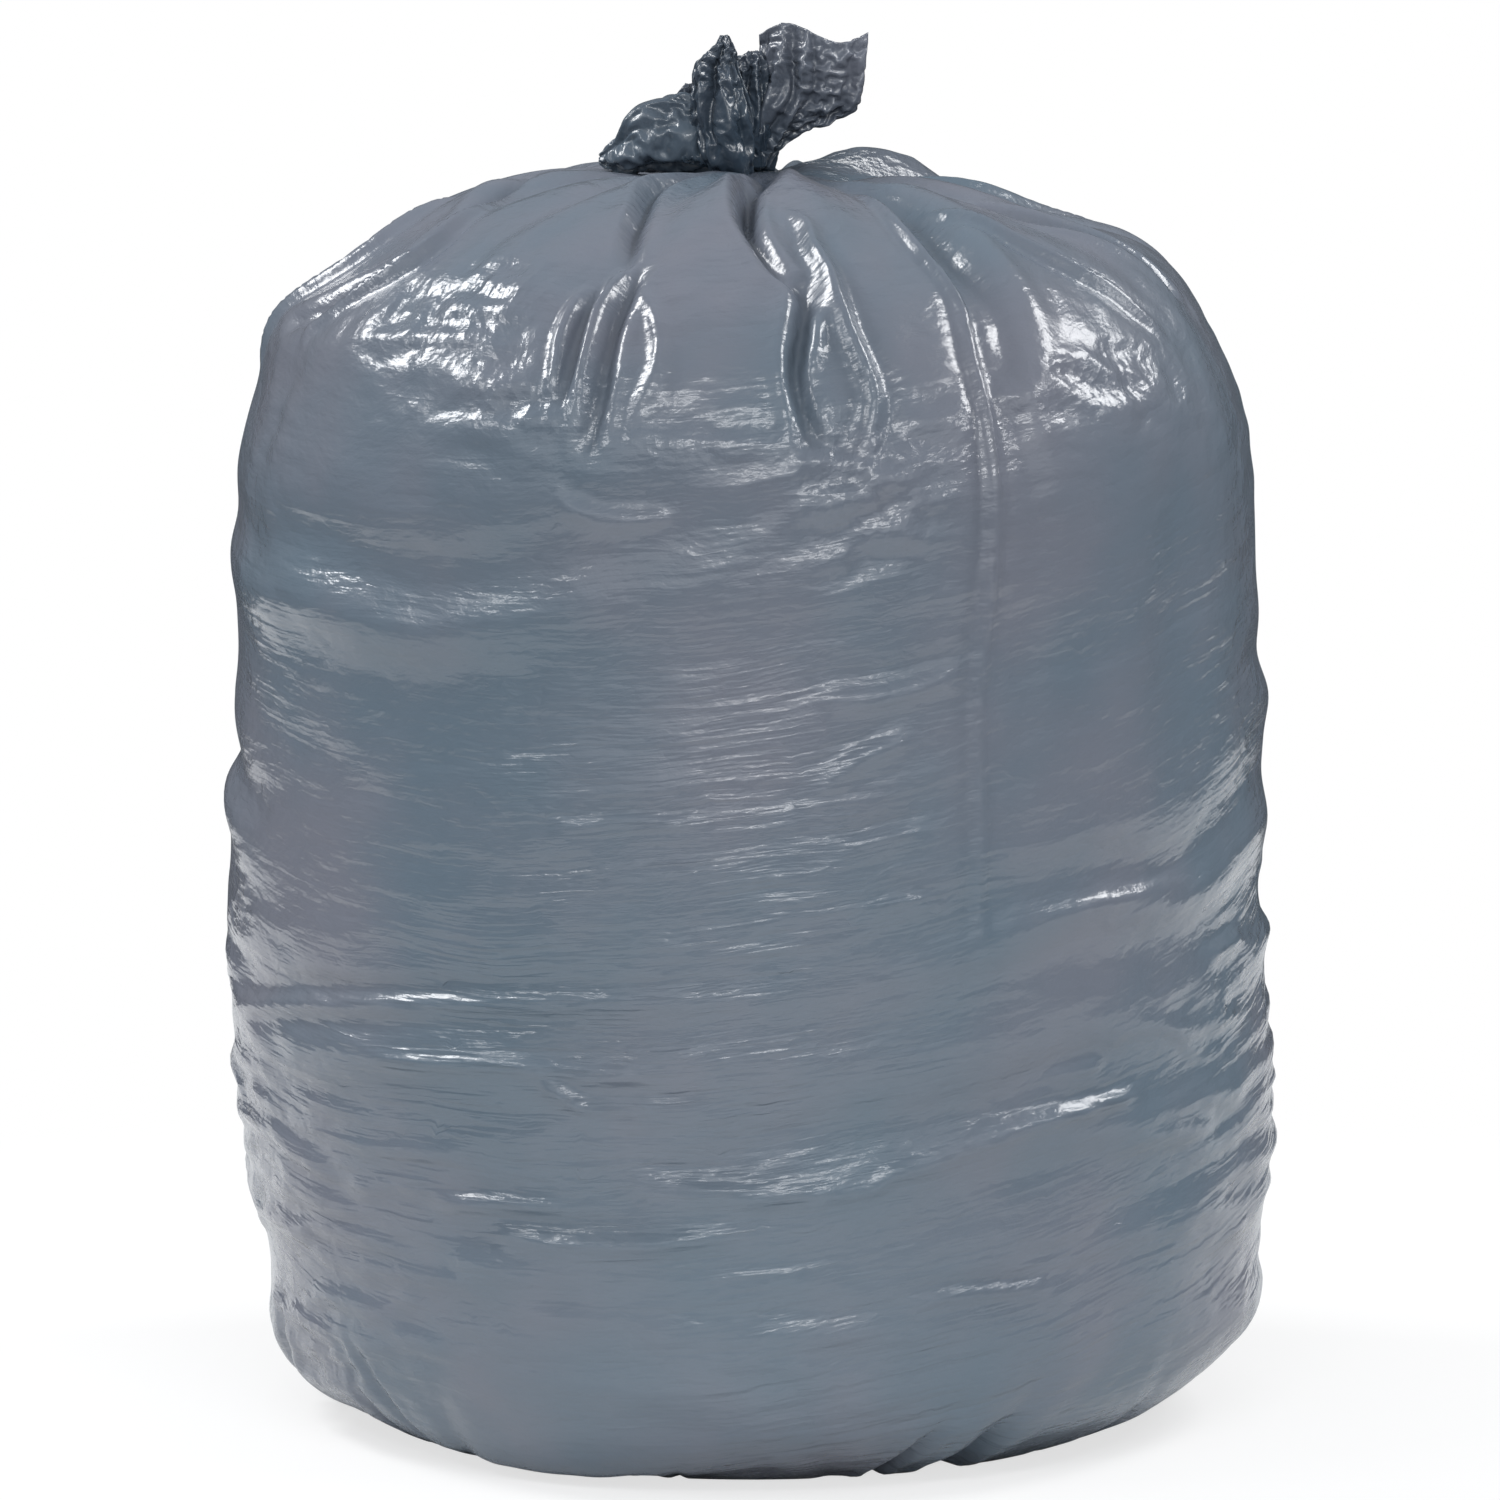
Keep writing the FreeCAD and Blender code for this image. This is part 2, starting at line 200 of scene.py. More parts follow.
# Where the film is crushed into small facets: clock angle, height, half the spread round the bag in
# degrees, half the spread in height, and how strongly.
CRUSHED = [
    (-42, 548, 17, 19, 1.0),
    (-33, 566, 8, 12, 0.8),
    (-21, 515, 10, 20, 0.7),
    (-4, 500, 9, 14, 0.8),
    (11, 497, 8, 26, 1.0),
    (12, 462, 9, 30, 0.7),
    (37, 528, 7, 12, 0.6),
    (-29, 512, 8, 13, 0.8),
    (27, 512, 6, 13, 0.6),
    (47, 517, 11, 17, 1.0),
    (-30, 325, 14, 12, 0.35),
    (-78, 150, 20, 60, 0.5),
    (-66, 40, 24, 30, 0.6),
    (70, 480, 14, 30, 0.3),
    (30, 90, 14, 20, 0.3),
    (125, 545, 20, 24, 0.9),
    (165, 520, 16, 30, 0.8),
    (205, 552, 22, 22, 1.0),
    (238, 500, 16, 34, 0.6),
    (180, 120, 40, 40, 0.4),
    (137, 612, 28, 12, 0.8),
]

# Where what is inside pulls the film taut: clock angle, height, half the spread round the bag in degrees,
# half the spread in height, and how much of the film's fine lines it takes away.
TAUT = [
    (30, 345, 13, 50, 0.6),
    (-60, 300, 12, 40, 0.5),
    (14, 120, 16, 24, 0.4),
    (60, 160, 12, 30, 0.5),
    (-35, 385, 16, 24, 0.5),
    (150, 300, 16, 60, 0.6),
    (215, 200, 18, 50, 0.6),
]

# The film's finest grid: points round the bag, the step along it, and the hole left for the pole of the
# bottom.
GRID_ROUND = 540
GRID_STEP = 3.0
POLE_RADIUS = 12.0
MOST_TRIANGLES = 196000
SHAPE_SEED = 3

# The film buckles first on a coarse grid, into wide folds, and then on the finest one, into wrinkles.
LEVELS = [
    {"coarse": 2, "slack": 0.6, "seeds": 0.7, "crushing": 0.0, "stiffness": 0.022, "rounds": 160},
    {"coarse": 1, "slack": 1.0, "seeds": 0.3, "crushing": 0.035, "stiffness": 0.012, "rounds": 120},
]

# Noises: the size, then the cells along the film and round the bag.
HEIGHT_STRAY = (9.0, 14, 20)
ANGLE_STRAY = (2.0, 16, 24)
UNEVEN = (1.6, 12, 16)
SLACK_PATCHES = (0.5, 10, 14)
FLAT_SEEDS = (0.6, 70, 22)
CROSSED_SEEDS = (0.7, 42, 56)
SHOULDER_SEEDS = (0.7, 12, 80)
CRUSHED_SEEDS = (2.0, 110, 120)
DIPS = (2.7, 20, 30)
LINE_PATCHES = (0.5, 9, 12)

# Millimetres of film over which things fade: from the floor, from the foot's edge and from the neck.
FLOOR_FADE = 14.0
HEEL_FADE = 20.0
NECK_FADE = 40.0
PLEAT_FADE = 16.0
FREE_FADE = 60.0
CALM_FROM = 70.0
CALM_FADE = 90.0

# The slack grows from LOW_SIDE down over LOW_FADE, and is short again below FLOOR_SLACK.
LOW_SIDE = 360.0
LOW_FADE = 220.0
FLOOR_SLACK = 30.0

# How much the slants of the grid pull, beside its lengths round and along, and how fast the film slides
# back.
SLANT_SHARE = 0.5
SLIDE_BACK = 0.01

# No wrinkle stands further out or lies deeper than this, apart from the dips.
WRINKLE_HIGH = 7.0
WRINKLE_LOW = -0.8
DIP_FULL = 1.5

# The small pleats at the knot: their number, how far each strays, as a share of its room, its lean in
# degrees over a length of film, its reach, its width, how fast it widens, and its height.
PLEAT_COUNT = 36
PLEAT_STRAY = 0.4
PLEAT_LEAN = 3.0
PLEAT_LEAN_OVER = 60.0
PLEAT_REACH = (25.0, 80.0)
PLEAT_WIDTH = (3.0, 6.0)
PLEAT_WIDENING = 0.03
PLEAT_HEIGHT = (-4.0, 2.5)

# The small tucks at the foot: their number, how far each strays, how high it reaches, its lean in degrees
# per millimetre, its depth, the least share of that depth, and its width in degrees.
TUCK_COUNT = 40
TUCK_STRAY = 0.5
TUCK_TOP = (12.0, 50.0)
TUCK_LEAN = 0.12
TUCK_DEPTH = 7.0
TUCK_LEAST = 0.2
TUCK_WIDTH = (0.7, 2.6)

# The knot's folds, as flat sleeves of film. Each has rows of points from inside the knot to its far end,
# with the sleeve's thickness at each row. A row runs from the sleeve's left edge to its right edge.
SLEEVES = {
    "turn": [
        (8, [(-6, -9, 612), (-2, -12, 610), (1, -9, 612)]),
        (16, [(-19, -10, 621), (-9, -16, 615.5), (0.5, -10, 618)]),
        (21, [(-27, -9, 631), (-13, -15, 627), (1.6, -10, 629)]),
        (22, [(-28.2, -8, 643), (-14, -14, 642), (0.8, -9, 643)]),
        (18, [(-27, -7, 655), (-15, -12, 656), (-3, -8, 655)]),
        (13, [(-26.5, -6, 663.5), (-16, -9, 665), (-5.5, -6, 664)]),
        (8, [(-19.5, -5, 670.5), (-13.5, -7, 672), (-6.8, -5, 671)]),
        (3, [(-14.5, -4, 676.5), (-12.5, -5, 678), (-10, -4, 676.5)]),
    ],
    "middle": [
        (8, [(-6, -1, 615), (2, -3, 614), (8, 0, 615)]),
        (12, [(-7, 0, 630), (2, -2, 630), (10, 1, 630)]),
        (14, [(-8, 0, 645), (1, -2, 645), (11, 2, 646)]),
        (13, [(-8, 1, 657), (2, -1, 658), (11, 3, 657)]),
        (8, [(-5.5, 2, 665), (2, 1, 668), (9.5, 4, 664)]),
        (3, [(-3, 3, 668.5), (2.5, 3, 670), (7, 4, 668.5)]),
    ],
    "back": [
        (10, [(-12, 10, 612), (0, 13, 611), (12, 10, 612)]),
        (17, [(-18, 12, 627), (-1, 16, 626), (15, 12, 627)]),
        (18, [(-20, 11, 642), (-2, 15, 642), (14, 12, 642)]),
        (13, [(-16, 9, 656), (-2, 12, 657), (12, 10, 656)]),
        (4, [(-9, 7, 666), (-2, 9, 667), (6, 8, 666)]),
    ],
    "loop": [
        (12, [(-8, 4, 612), (-8, -4, 627), (-10, 2, 642)]),
        (15, [(-20, 7, 611), (-21, -6, 630), (-22, 3, 648)]),
        (16, [(-33, 9, 611), (-33, -7, 631), (-33, 3, 650)]),
        (15, [(-45, 10, 611), (-45, -6, 630), (-45, 4, 647)]),
        (12, [(-54, 10, 611), (-54, -4, 627), (-54.5, 5, 644)]),
        (9, [(-62, 10, 611), (-62, -2, 623), (-61.5, 6, 634.5)]),
        (5, [(-68.5, 9, 613), (-68.5, 3, 619), (-68, 7, 626)]),
        (2, [(-73, 9, 615), (-73, 7, 618), (-73, 8, 621)]),
    ],
    "peak": [
        (8, [(-16, 3, 618), (-10, 0, 620), (-4, 3, 622)]),
        (11, [(-30, 4, 632), (-22, -1, 634), (-14, 4, 636)]),
        (10, [(-36, 4, 642), (-29, -1, 644), (-20, 4, 646)]),
        (7, [(-35.5, 4, 648.5), (-30, 2, 651), (-23, 4, 652)]),
        (3, [(-31, 4, 653), (-29, 3, 654.5), (-26, 4, 654.5)]),
    ],
    "lip": [
        (6, [(-14, -8, 615), (-14, -12, 618), (-14, -8, 621)]),
        (5, [(-27, -8, 617), (-27, -12, 620), (-27, -8, 623)]),
        (2.5, [(-38, -6, 618.5), (-38, -8, 620), (-38, -6, 621.5)]),
    ],
    "tail": [
        (8, [(-1, 3, 616), (2, 1, 615), (4, 1, 614.5), (6.5, 2, 614), (9, 3, 614)]),
        (9, [(0, 4, 629), (3, 1, 628), (6, 0, 626.5), (9, 1, 625), (12.5, 4, 622.5)]),
        (11, [(1, 5, 642), (5.5, 1, 641), (10, -1, 638), (15, 0, 634), (20.5, 5, 629.5)]),
        (12, [(2, 6, 655), (9, 1, 654), (17, -2, 650), (25.5, -1, 643), (34.5, 5, 635)]),
        (9, [(3.5, 6, 666), (12, 0, 667), (24, -3, 662), (37, -1, 654), (50, 5, 641)]),
        (5, [(4.6, 6, 673), (15, 1, 676), (29, -2, 670.5), (43, 0, 665), (55.5, 4, 656)]),
        (2, [(4.6, 5, 678.5), (17, 2, 683.8), (33, -1, 678), (45, 1, 674.5), (57.2, 4, 679)]),
    ],
}

# The pleats pressed into a sleeve: where each is at its two ends, as shares of the way across, half its
# width as such a share, and how far it stands out, or in where it is negative.
SLEEVE_PLEATS = {
    "turn": [
        (0.36, 0.46, 0.07, -5.5),
        (0.52, 0.56, 0.05, 2.6),
        (0.14, 0.34, 0.07, 2.6),
        (0.62, 0.80, 0.06, -3.0),
        (0.90, 0.95, 0.06, -4.0),
        (0.22, 0.16, 0.04, -2.0),
    ],
    "middle": [(0.3, 0.4, 0.07, -4.0), (0.5, 0.55, 0.06, 2.5), (0.7, 0.6, 0.06, -3.0)],
    "back": [(0.25, 0.3, 0.07, -4.0), (0.5, 0.5, 0.07, 3.0), (0.72, 0.66, 0.07, -4.0)],
    "loop": [(0.62, 0.7, 0.07, -3.0), (0.8, 0.8, 0.05, 2.2), (0.36, 0.5, 0.06, 2.2), (0.25, 0.3, 0.05, -2.4)],
    "peak": [(0.4, 0.5, 0.08, -2.5), (0.6, 0.6, 0.07, 2.0)],
    "lip": [(0.5, 0.5, 0.2, 1.0)],
    "tail": [
        (0.15, 0.10, 0.06, -3.0),
        (0.32, 0.22, 0.06, 2.6),
        (0.46, 0.34, 0.07, -5.5),
        (0.58, 0.42, 0.05, 3.4),
        (0.68, 0.50, 0.05, -3.0),
        (0.74, 0.92, 0.07, -3.2),
        (0.90, 1.02, 0.05, 2.6),
    ],
}

# How dark a sleeve is at its root, from 0 for the darkest, and how much paler it gets to its end. The
# darkness is partly the film's layers and partly painted shade: the inner sleeves are near black, painted
# shade in the knot's gaps.
SLEEVE_TONES = dict.fromkeys(SLEEVES, 0.04) | {"turn": 0.1, "loop": 0.45, "tail": 0.36}
TONE_RISE = 0.3

SLEEVE_ROWS = 96
SLEEVE_COLUMNS = 150
SLEEVE_PATCHES = (0.6, 6, 6)
SLEEVE_BULK = (1.0, 7, 9)
SLEEVE_SEEDS = (1.0, 24, 30)
SLEEVE_STIFFNESS = 0.013
SLEEVE_ROUNDS = 140
SLEEVE_SLIDE_BACK = 0.02
SLEEVE_CRUSHED = 0.7
SLEEVE_TEXTURE_GAP = 0.3
SLEEVE_SEED_GAP = 20

# A sleeve's film is fixed over this share of its length, and may wrinkle by a share of its thickness,
# within limits.
SLEEVE_ROOT = 0.1
SLEEVE_ROOM = 0.26
SLEEVE_ROOM_LIMITS = (0.3, 3.0)
SLEEVE_ROOM_OUT = 1.4

# A crest's steepness and power, and how far out it still counts.
CREST_STEEPNESS = 1.6
CREST_POWER = 1.2
CREST_END = 200.0

# Steps of the lines that are measured: a spline, the bag's outline and a shoulder fold.
SPLINE_STEPS = 4000
OUTLINE_STEPS = 400
FOLD_STEPS = 90

# Noise is raised by this, so that its ends are near -1 and 1. Two guards follow, for a grid's edge and a
# zero length, and the millimetres in a metre.
NOISE_GAIN = 2.0
TINY = 1e-6
NO_LENGTH = 1e-9
PER_METRE = 1000.0


def bell(x):
    return np.exp(-x * x)


def crest(x):
    """A ridge with a narrow top."""
    return 1.0 / np.cosh(CREST_STEEPNESS * np.clip(x, -CREST_END, CREST_END)) ** CREST_POWER


def hollowed(across):
    """A crest with a shallow hollow at each side."""
    depth, place = 0.3, 2.0
    return crest(across) - depth * bell(np.abs(across) - place)


def tapered(share, start, power):
    """1 along a fold, and 0 a little past its ends, which are at shares -1 and 1."""
    return np.clip(start - share**2, 0.0, 1.0) ** power


def ramp(value, length):
    """From 0 at nothing evenly to 1 at this length."""
    return np.clip(value / length, 0.0, 1.0)


def patch(row, angle, height):
    """A row of LUMPS, CRUSHED or TAUT: its last value at its place, which fades all round."""
    at, level, spread, tall, strength = row
    return strength * bell(turned(angle - at) / spread) * bell((height - level) / tall)


def turned(angle):
    """Angles in degrees brought to between -180 and 180."""
    return (angle + 180.0) % 360.0 - 180.0


def spline_through(points, count):
    """Evenly spaced points along a smooth line through these points, and the line's length."""
    knots = np.array(points, float)
    gaps = np.linalg.norm(np.diff(knots, axis=0), axis=1)
    place = np.concatenate([[0.0], np.cumsum(gaps)])
    size = len(knots)
    system = np.zeros((size, size))
    right = np.zeros((size, knots.shape[1]))
    system[0, 0] = system[-1, -1] = 1.0
    for row in range(1, size - 1):
        before, after = gaps[row - 1], gaps[row]
        system[row, row - 1 : row + 2] = before, 2 * (before + after), after
        right[row] = 6 * ((knots[row + 1] - knots[row]) / after - (knots[row] - knots[row - 1]) / before)
    bend = np.linalg.solve(system, right)
    fine = np.linspace(0.0, place[-1], SPLINE_STEPS)
    span = np.clip(np.searchsorted(place, fine) - 1, 0, size - 2)
    gap = gaps[span][:, None]
    low = (place[span + 1] - fine)[:, None]
    high = (fine - place[span])[:, None]
    line = (
        bend[span] * low**3 / (6 * gap)
        + bend[span + 1] * high**3 / (6 * gap)
        + (knots[span] / gap - bend[span] * gap / 6) * low
        + (knots[span + 1] / gap - bend[span + 1] * gap / 6) * high
    )
    steps = np.concatenate([[0.0], np.cumsum(np.linalg.norm(np.diff(line, axis=0), axis=1))])
    even = np.linspace(0.0, steps[-1], count)
    columns = [np.interp(even, steps, line[:, axis]) for axis in range(line.shape[1])]
    return np.stack(columns, axis=1), steps[-1]


def film_outline(step):
    """Radius and height along the film from near the middle of its bottom to the neck, and its distances."""
    length = spline_through(SIDE, OUTLINE_STEPS)[1]
    count = round(length / step) + 1
    side = spline_through(SIDE, count)[0]
    inner = round((FOOT_RADIUS - POLE_RADIUS) / step)
    bottom = np.stack([np.linspace(POLE_RADIUS, FOOT_RADIUS, inner + 1)[:-1], np.zeros(inner)], axis=1)
    outline = np.concatenate([bottom, side])
    along = np.concatenate([bottom[:, 0], FOOT_RADIUS + np.linspace(0.0, length, count)])
    return outline, along


def gather_shape(angle, from_neck, radius):
    """The gathers: each is a groove with a lip beside it."""
    lip, lip_place = 0.75, 1.1
    fade, end = 0.8, 1.6
    moved = np.zeros_like(angle)
    for at_neck, at_end, reach, width, depth in GATHERS:
        along = from_neck / reach
        middle = at_neck + (at_end - at_neck) * along
        across = np.radians(turned(angle - middle)) * radius / width
        fold = lip * bell(across - lip_place) - crest(across)
        moved += depth * bell(along / fade) * fold * (along < end)
    return moved


def pleat_shape(rng, angle, from_neck, radius):
    """The many small pleats where the film goes into the knot."""
    moved = np.zeros_like(angle)
    for step in range(PLEAT_COUNT):
        start = 360.0 * (step + rng.uniform(-PLEAT_STRAY, PLEAT_STRAY)) / PLEAT_COUNT
        middle = start + rng.uniform(-PLEAT_LEAN, PLEAT_LEAN) * from_neck / PLEAT_LEAN_OVER
        reach = rng.uniform(*PLEAT_REACH)
        width = rng.uniform(*PLEAT_WIDTH)
        across = np.radians(turned(angle - middle)) * radius / (width + PLEAT_WIDENING * from_neck)
        moved += rng.uniform(*PLEAT_HEIGHT) * bell(from_neck / reach) * crest(across)
    return moved


def lump_shape(angle, height):
    return sum(patch(row, angle, height) for row in LUMPS)


def crease_shape(angle, height):
    """The creases: each is a low ridge below a groove."""
    ridge, groove = 1.0, 0.2
    moved = np.zeros_like(angle)
    for at, level, rise, reach, width, depth in CREASES:
        off = turned(angle - at)
        across = (height - level - rise * off) / width
        moved += depth * bell(off / reach) * (bell(across + ridge) - bell(across - groove))
    return moved


def ridge_shape(angle, height):
    """The ridges: each has a hollow above it."""
    hollow, hollow_place, hollow_width = 0.45, 1.6, 1.2
    taper_start, taper_power = 1.25, 0.7
    moved = np.zeros_like(angle)
    for start, low, end, high, bow, width, depth in RIDGES:
        middle, half = 0.5 * (start + end), 0.5 * (end - start)
        share = turned(angle - middle) / half
        level = 0.5 * (low + high) + 0.5 * (high - low) * share + bow * (1.0 - share**2)
        across = (height - level) / width
        profile = crest(across) - hollow * bell((across - hollow_place) / hollow_width)
        moved += depth * tapered(share, taper_start, taper_power) * profile
    return moved


def shoulder_shape(angle, from_neck, radius):
    taper_start, taper_power = 1.2, 0.8
    moved = np.zeros_like(angle)
    for width, depth, line in SHOULDER_FOLDS:
        angles, distances = spline_through(line, FOLD_STEPS)[0].T
        middle = np.interp(from_neck, distances, angles)
        half = 0.5 * (distances[-1] - distances[0])
        share = (from_neck - distances[0]) / half - 1.0
        turning = np.interp(from_neck + 1.0, distances, angles) - middle
        slanted = np.hypot(1.0, np.radians(turning) * radius)
        across = np.radians(turned(angle - middle)) * radius / (width * slanted)
        moved += depth * tapered(share, taper_start, taper_power) * hollowed(across)
    return moved


def crushed_share(angle, height):
    """How strongly the film is crushed into small facets."""
    most = 1.2
    return np.clip(sum(patch(row, angle, height) for row in CRUSHED), 0.0, most)


def pucker_shape(rng, angle, height):
    """The small tucks where the film turns under on the floor."""
    moved = np.zeros_like(angle)
    for step in range(TUCK_COUNT):
        middle = 360.0 * (step + rng.uniform(-TUCK_STRAY, TUCK_STRAY)) / TUCK_COUNT
        top = rng.uniform(*TUCK_TOP)
        lean = rng.uniform(-TUCK_LEAN, TUCK_LEAN)
        depth = TUCK_DEPTH * rng.uniform(TUCK_LEAST, 1.0) ** 2
        across = turned(angle - middle - lean * height) / rng.uniform(*TUCK_WIDTH)
        moved -= depth * hollowed(across) * bell(height / top)
    return moved


def smooth_noise(rng, rows, columns, cells_along, cells_round):
    """Smooth noise that closes round the bag, from a coarse grid of random values."""
    coarse = rng.standard_normal((cells_along + 3, cells_round))
    along = np.linspace(0, cells_along - TINY, rows)
    around = np.arange(columns) * cells_round / columns

    def weights(t):
        shares = [(1 - t) ** 3, 3 * t**3 - 6 * t**2 + 4, -3 * t**3 + 3 * t**2 + 3 * t + 1, t**3]
        return np.stack(shares, axis=-1) / 6

    row, row_weights = along.astype(int), weights(along % 1.0)
    column, column_weights = around.astype(int), weights(around % 1.0)
    noise = np.zeros((rows, columns))
    for p in range(4):
        values = coarse[row + p]
        for q in range(4):
            share = row_weights[:, p, None] * column_weights[None, :, q]
            noise += share * values[:, (column + q) % cells_round]
    return NOISE_GAIN * noise


def noise_field(rng, shape, noise, fineness=1):
    """One of the named noises on a grid of this shape."""
    size, cells_along, cells_round = noise
    return size * smooth_noise(rng, *shape, cells_along * fineness, cells_round * fineness)


def push_apart(first, second, rest, share):
    """Move each pair of points towards its rest distance."""
    gap = second - first
    length = np.sqrt((gap * gap).sum(-1)) + NO_LENGTH
    move = gap * (0.5 * share * (length - rest) / length)[..., None]
    first += move
    second -= move


def unevenness(field):
    """How far each point is from the mean of its neighbours, along and round."""
    spread = np.roll(field, 1, axis=1) + np.roll(field, -1, axis=1) - 2.0 * field
    spread[1:-1] += field[2:] + field[:-2] - 2.0 * field[1:-1]
    return spread


def rest_lengths(base, more_round, more_along):
    """The lengths of flat film between neighbouring points: round, along, and along both slants."""
    rest_round = np.linalg.norm(np.roll(base, -1, axis=1) - base, axis=-1) * (1.0 + more_round)
    rest_along = np.linalg.norm(base[1:] - base[:-1], axis=-1) * (1.0 + more_along[1:])
    both = 1.0 + 0.5 * (more_round + more_along)[1:]
    slants = [np.linalg.norm(np.roll(base[1:], turn, axis=1) - base[:-1], axis=-1) * both for turn in (-1, 1)]
    return rest_round, rest_along, slants


def relax(points, base, normal, rest, limits, rounds, stiffness, slide_back, free):
    """Let slack film buckle: rows run along the film, columns close round the bag."""
    rest_round, rest_along, rest_slants = rest
    low, high = limits
    rows = points.shape[0]
    for _ in range(rounds):
        push_apart(points[:, 0::2], points[:, 1::2], rest_round[:, 0::2], 1.0)
        after = np.roll(points[:, 0::2], -1, axis=1)
        push_apart(points[:, 1::2], after, rest_round[:, 1::2], 1.0)
        points[:, 0::2] = np.roll(after, 1, axis=1)
        for start in (0, 1):
            stop = start + 2 * ((rows - start) // 2)
            lower = points[start:stop:2]
            push_apart(lower, points[start + 1 : stop : 2], rest_along[start:stop:2], 1.0)
            for turn, rest_slant in zip((-1, 1), rest_slants):
                upper = np.roll(points[start + 1 : stop : 2], turn, axis=1)
                push_apart(lower, upper, rest_slant[start:stop:2], SLANT_SHARE)
                points[start + 1 : stop : 2] = np.roll(upper, -turn, axis=1)
        off = points - base
        off -= stiffness * unevenness(unevenness(off))
        height = (off * normal).sum(-1)
        side = off - height[..., None] * normal
        off = side * (1.0 - slide_back) + np.clip(height, low, high)[..., None] * normal
        points[:] = base + off * free[..., None]
        np.maximum(points[..., 2], 0.0, out=points[..., 2])


def film_grid(step, columns):
    """The film before it buckles: angles, heights, distances along and from the neck, points and normals."""
    rng = np.random.default_rng(SHAPE_SEED)
    outline, along = film_outline(step)
    rows = len(outline)
    angle = np.broadcast_to(180.0 + 360.0 * np.arange(columns) / columns, (rows, columns))
    radius = np.broadcast_to(outline[:, :1], (rows, columns))
    height = np.broadcast_to(outline[:, 1:], (rows, columns))
    slope = np.gradient(outline, along, axis=0)
    slope /= np.linalg.norm(slope, axis=1, keepdims=True)
    from_neck = along[-1] - np.broadcast_to(along[:, None], (rows, columns))
    planted = ramp(height, FLOOR_FADE)
    gathered = ramp(from_neck, NECK_FADE)
    heel = ramp(radius - FOOT_RADIUS + HEEL_FADE, HEEL_FADE)
    stray_height = height + noise_field(rng, angle.shape, HEIGHT_STRAY)
    stray_angle = angle + noise_field(rng, angle.shape, ANGLE_STRAY)
    shaped = lump_shape(angle, height) + crease_shape(stray_angle, stray_height) + ridge_shape(angle, height)
    shaped += gather_shape(stray_angle, from_neck, radius)
    shaped += noise_field(rng, angle.shape, UNEVEN)
    pleats = pleat_shape(rng, angle, from_neck, radius) + shoulder_shape(angle, from_neck, radius)
    pleats *= ramp(from_neck, PLEAT_FADE)
    push = planted * (gathered * shaped + pleats) + heel * pucker_shape(rng, angle, height)
    out, up = slope[:, 1:], -slope[:, :1]
    turn = np.radians(angle)
    ring = radius + push * out
    points = np.stack([ring * np.sin(turn), -ring * np.cos(turn), height + push * up], axis=-1)
    normal = np.stack([out * np.sin(turn), -out * np.cos(turn), np.broadcast_to(up, turn.shape)], axis=-1)
    return angle, height, along, from_neck, points, normal


def respread(field, rows, columns):
    """A field on a coarse grid, spread to a finer one."""
    at_row = np.linspace(0, field.shape[0] - 1, rows)
    row = np.minimum(at_row.astype(int), field.shape[0] - 2)
    share = (at_row - row)[:, None, None]
    tall = field[row] * (1 - share) + field[row + 1] * share
    at_column = np.arange(columns) * field.shape[1] / columns
    column = at_column.astype(int)
    share = (at_column - column)[None, :, None]
    return tall[:, column] * (1 - share) + tall[:, (column + 1) % field.shape[1]] * share


def spare_film(rng, stage, slacks, angle, height, from_neck):
    """How much longer than the body the film is, as shares: along it and round the bag."""
    slack_along, slack_round = slacks
    least, most_down, most_shoulder = 0.3, 0.3, 0.35
    size, cells_along, cells_round = SLACK_PATCHES
    patchy = 1.0 + size * np.clip(smooth_noise(rng, *angle.shape, cells_along, cells_round), -1.0, 1.0)
    calm = ramp(from_neck - CALM_FROM, CALM_FADE)
    crushed = stage["crushing"] * crushed_share(angle, height)
    above_floor = np.clip(height / FLOOR_SLACK, least, 1.0)
    along = stage["slack"] * slack_along * patchy
    along = along * (least + most_down * ramp(LOW_SIDE - height, LOW_FADE)) * above_floor
    around = stage["slack"] * slack_round * patchy * (least + most_shoulder * on_shoulder(from_neck)) * calm
    return along * calm + crushed, around + crushed


def wrinkle_seeds(rng, level, angle, height, from_neck):
    """The small unevenness from which the film buckles, in millimetres outwards."""
    fineness = level + 1
    least, most_down = 0.3, 0.9
    flat = noise_field(rng, angle.shape, FLAT_SEEDS, fineness)
    flat += noise_field(rng, angle.shape, CROSSED_SEEDS, fineness)
    flat *= least + most_down * ramp(LOW_SIDE - height, LOW_FADE)
    size, cells_along, cells_round = SHOULDER_SEEDS
    steep = smooth_noise(rng, *angle.shape, cells_along, cells_round * fineness)
    steep = steep * size * on_shoulder(from_neck)
    cells = noise_field(rng, angle.shape, CRUSHED_SEEDS) * crushed_share(angle, height)
    calm = ramp(from_neck - CALM_FROM, CALM_FADE)
    return (flat + steep + cells) * ramp(from_neck, FREE_FADE) * calm * LEVELS[level]["seeds"]


def on_shoulder(from_neck):
    """1 in the middle of the shoulder, fading both ways."""
    middle, half = 190.0, 110.0
    return bell((from_neck - middle) / half)


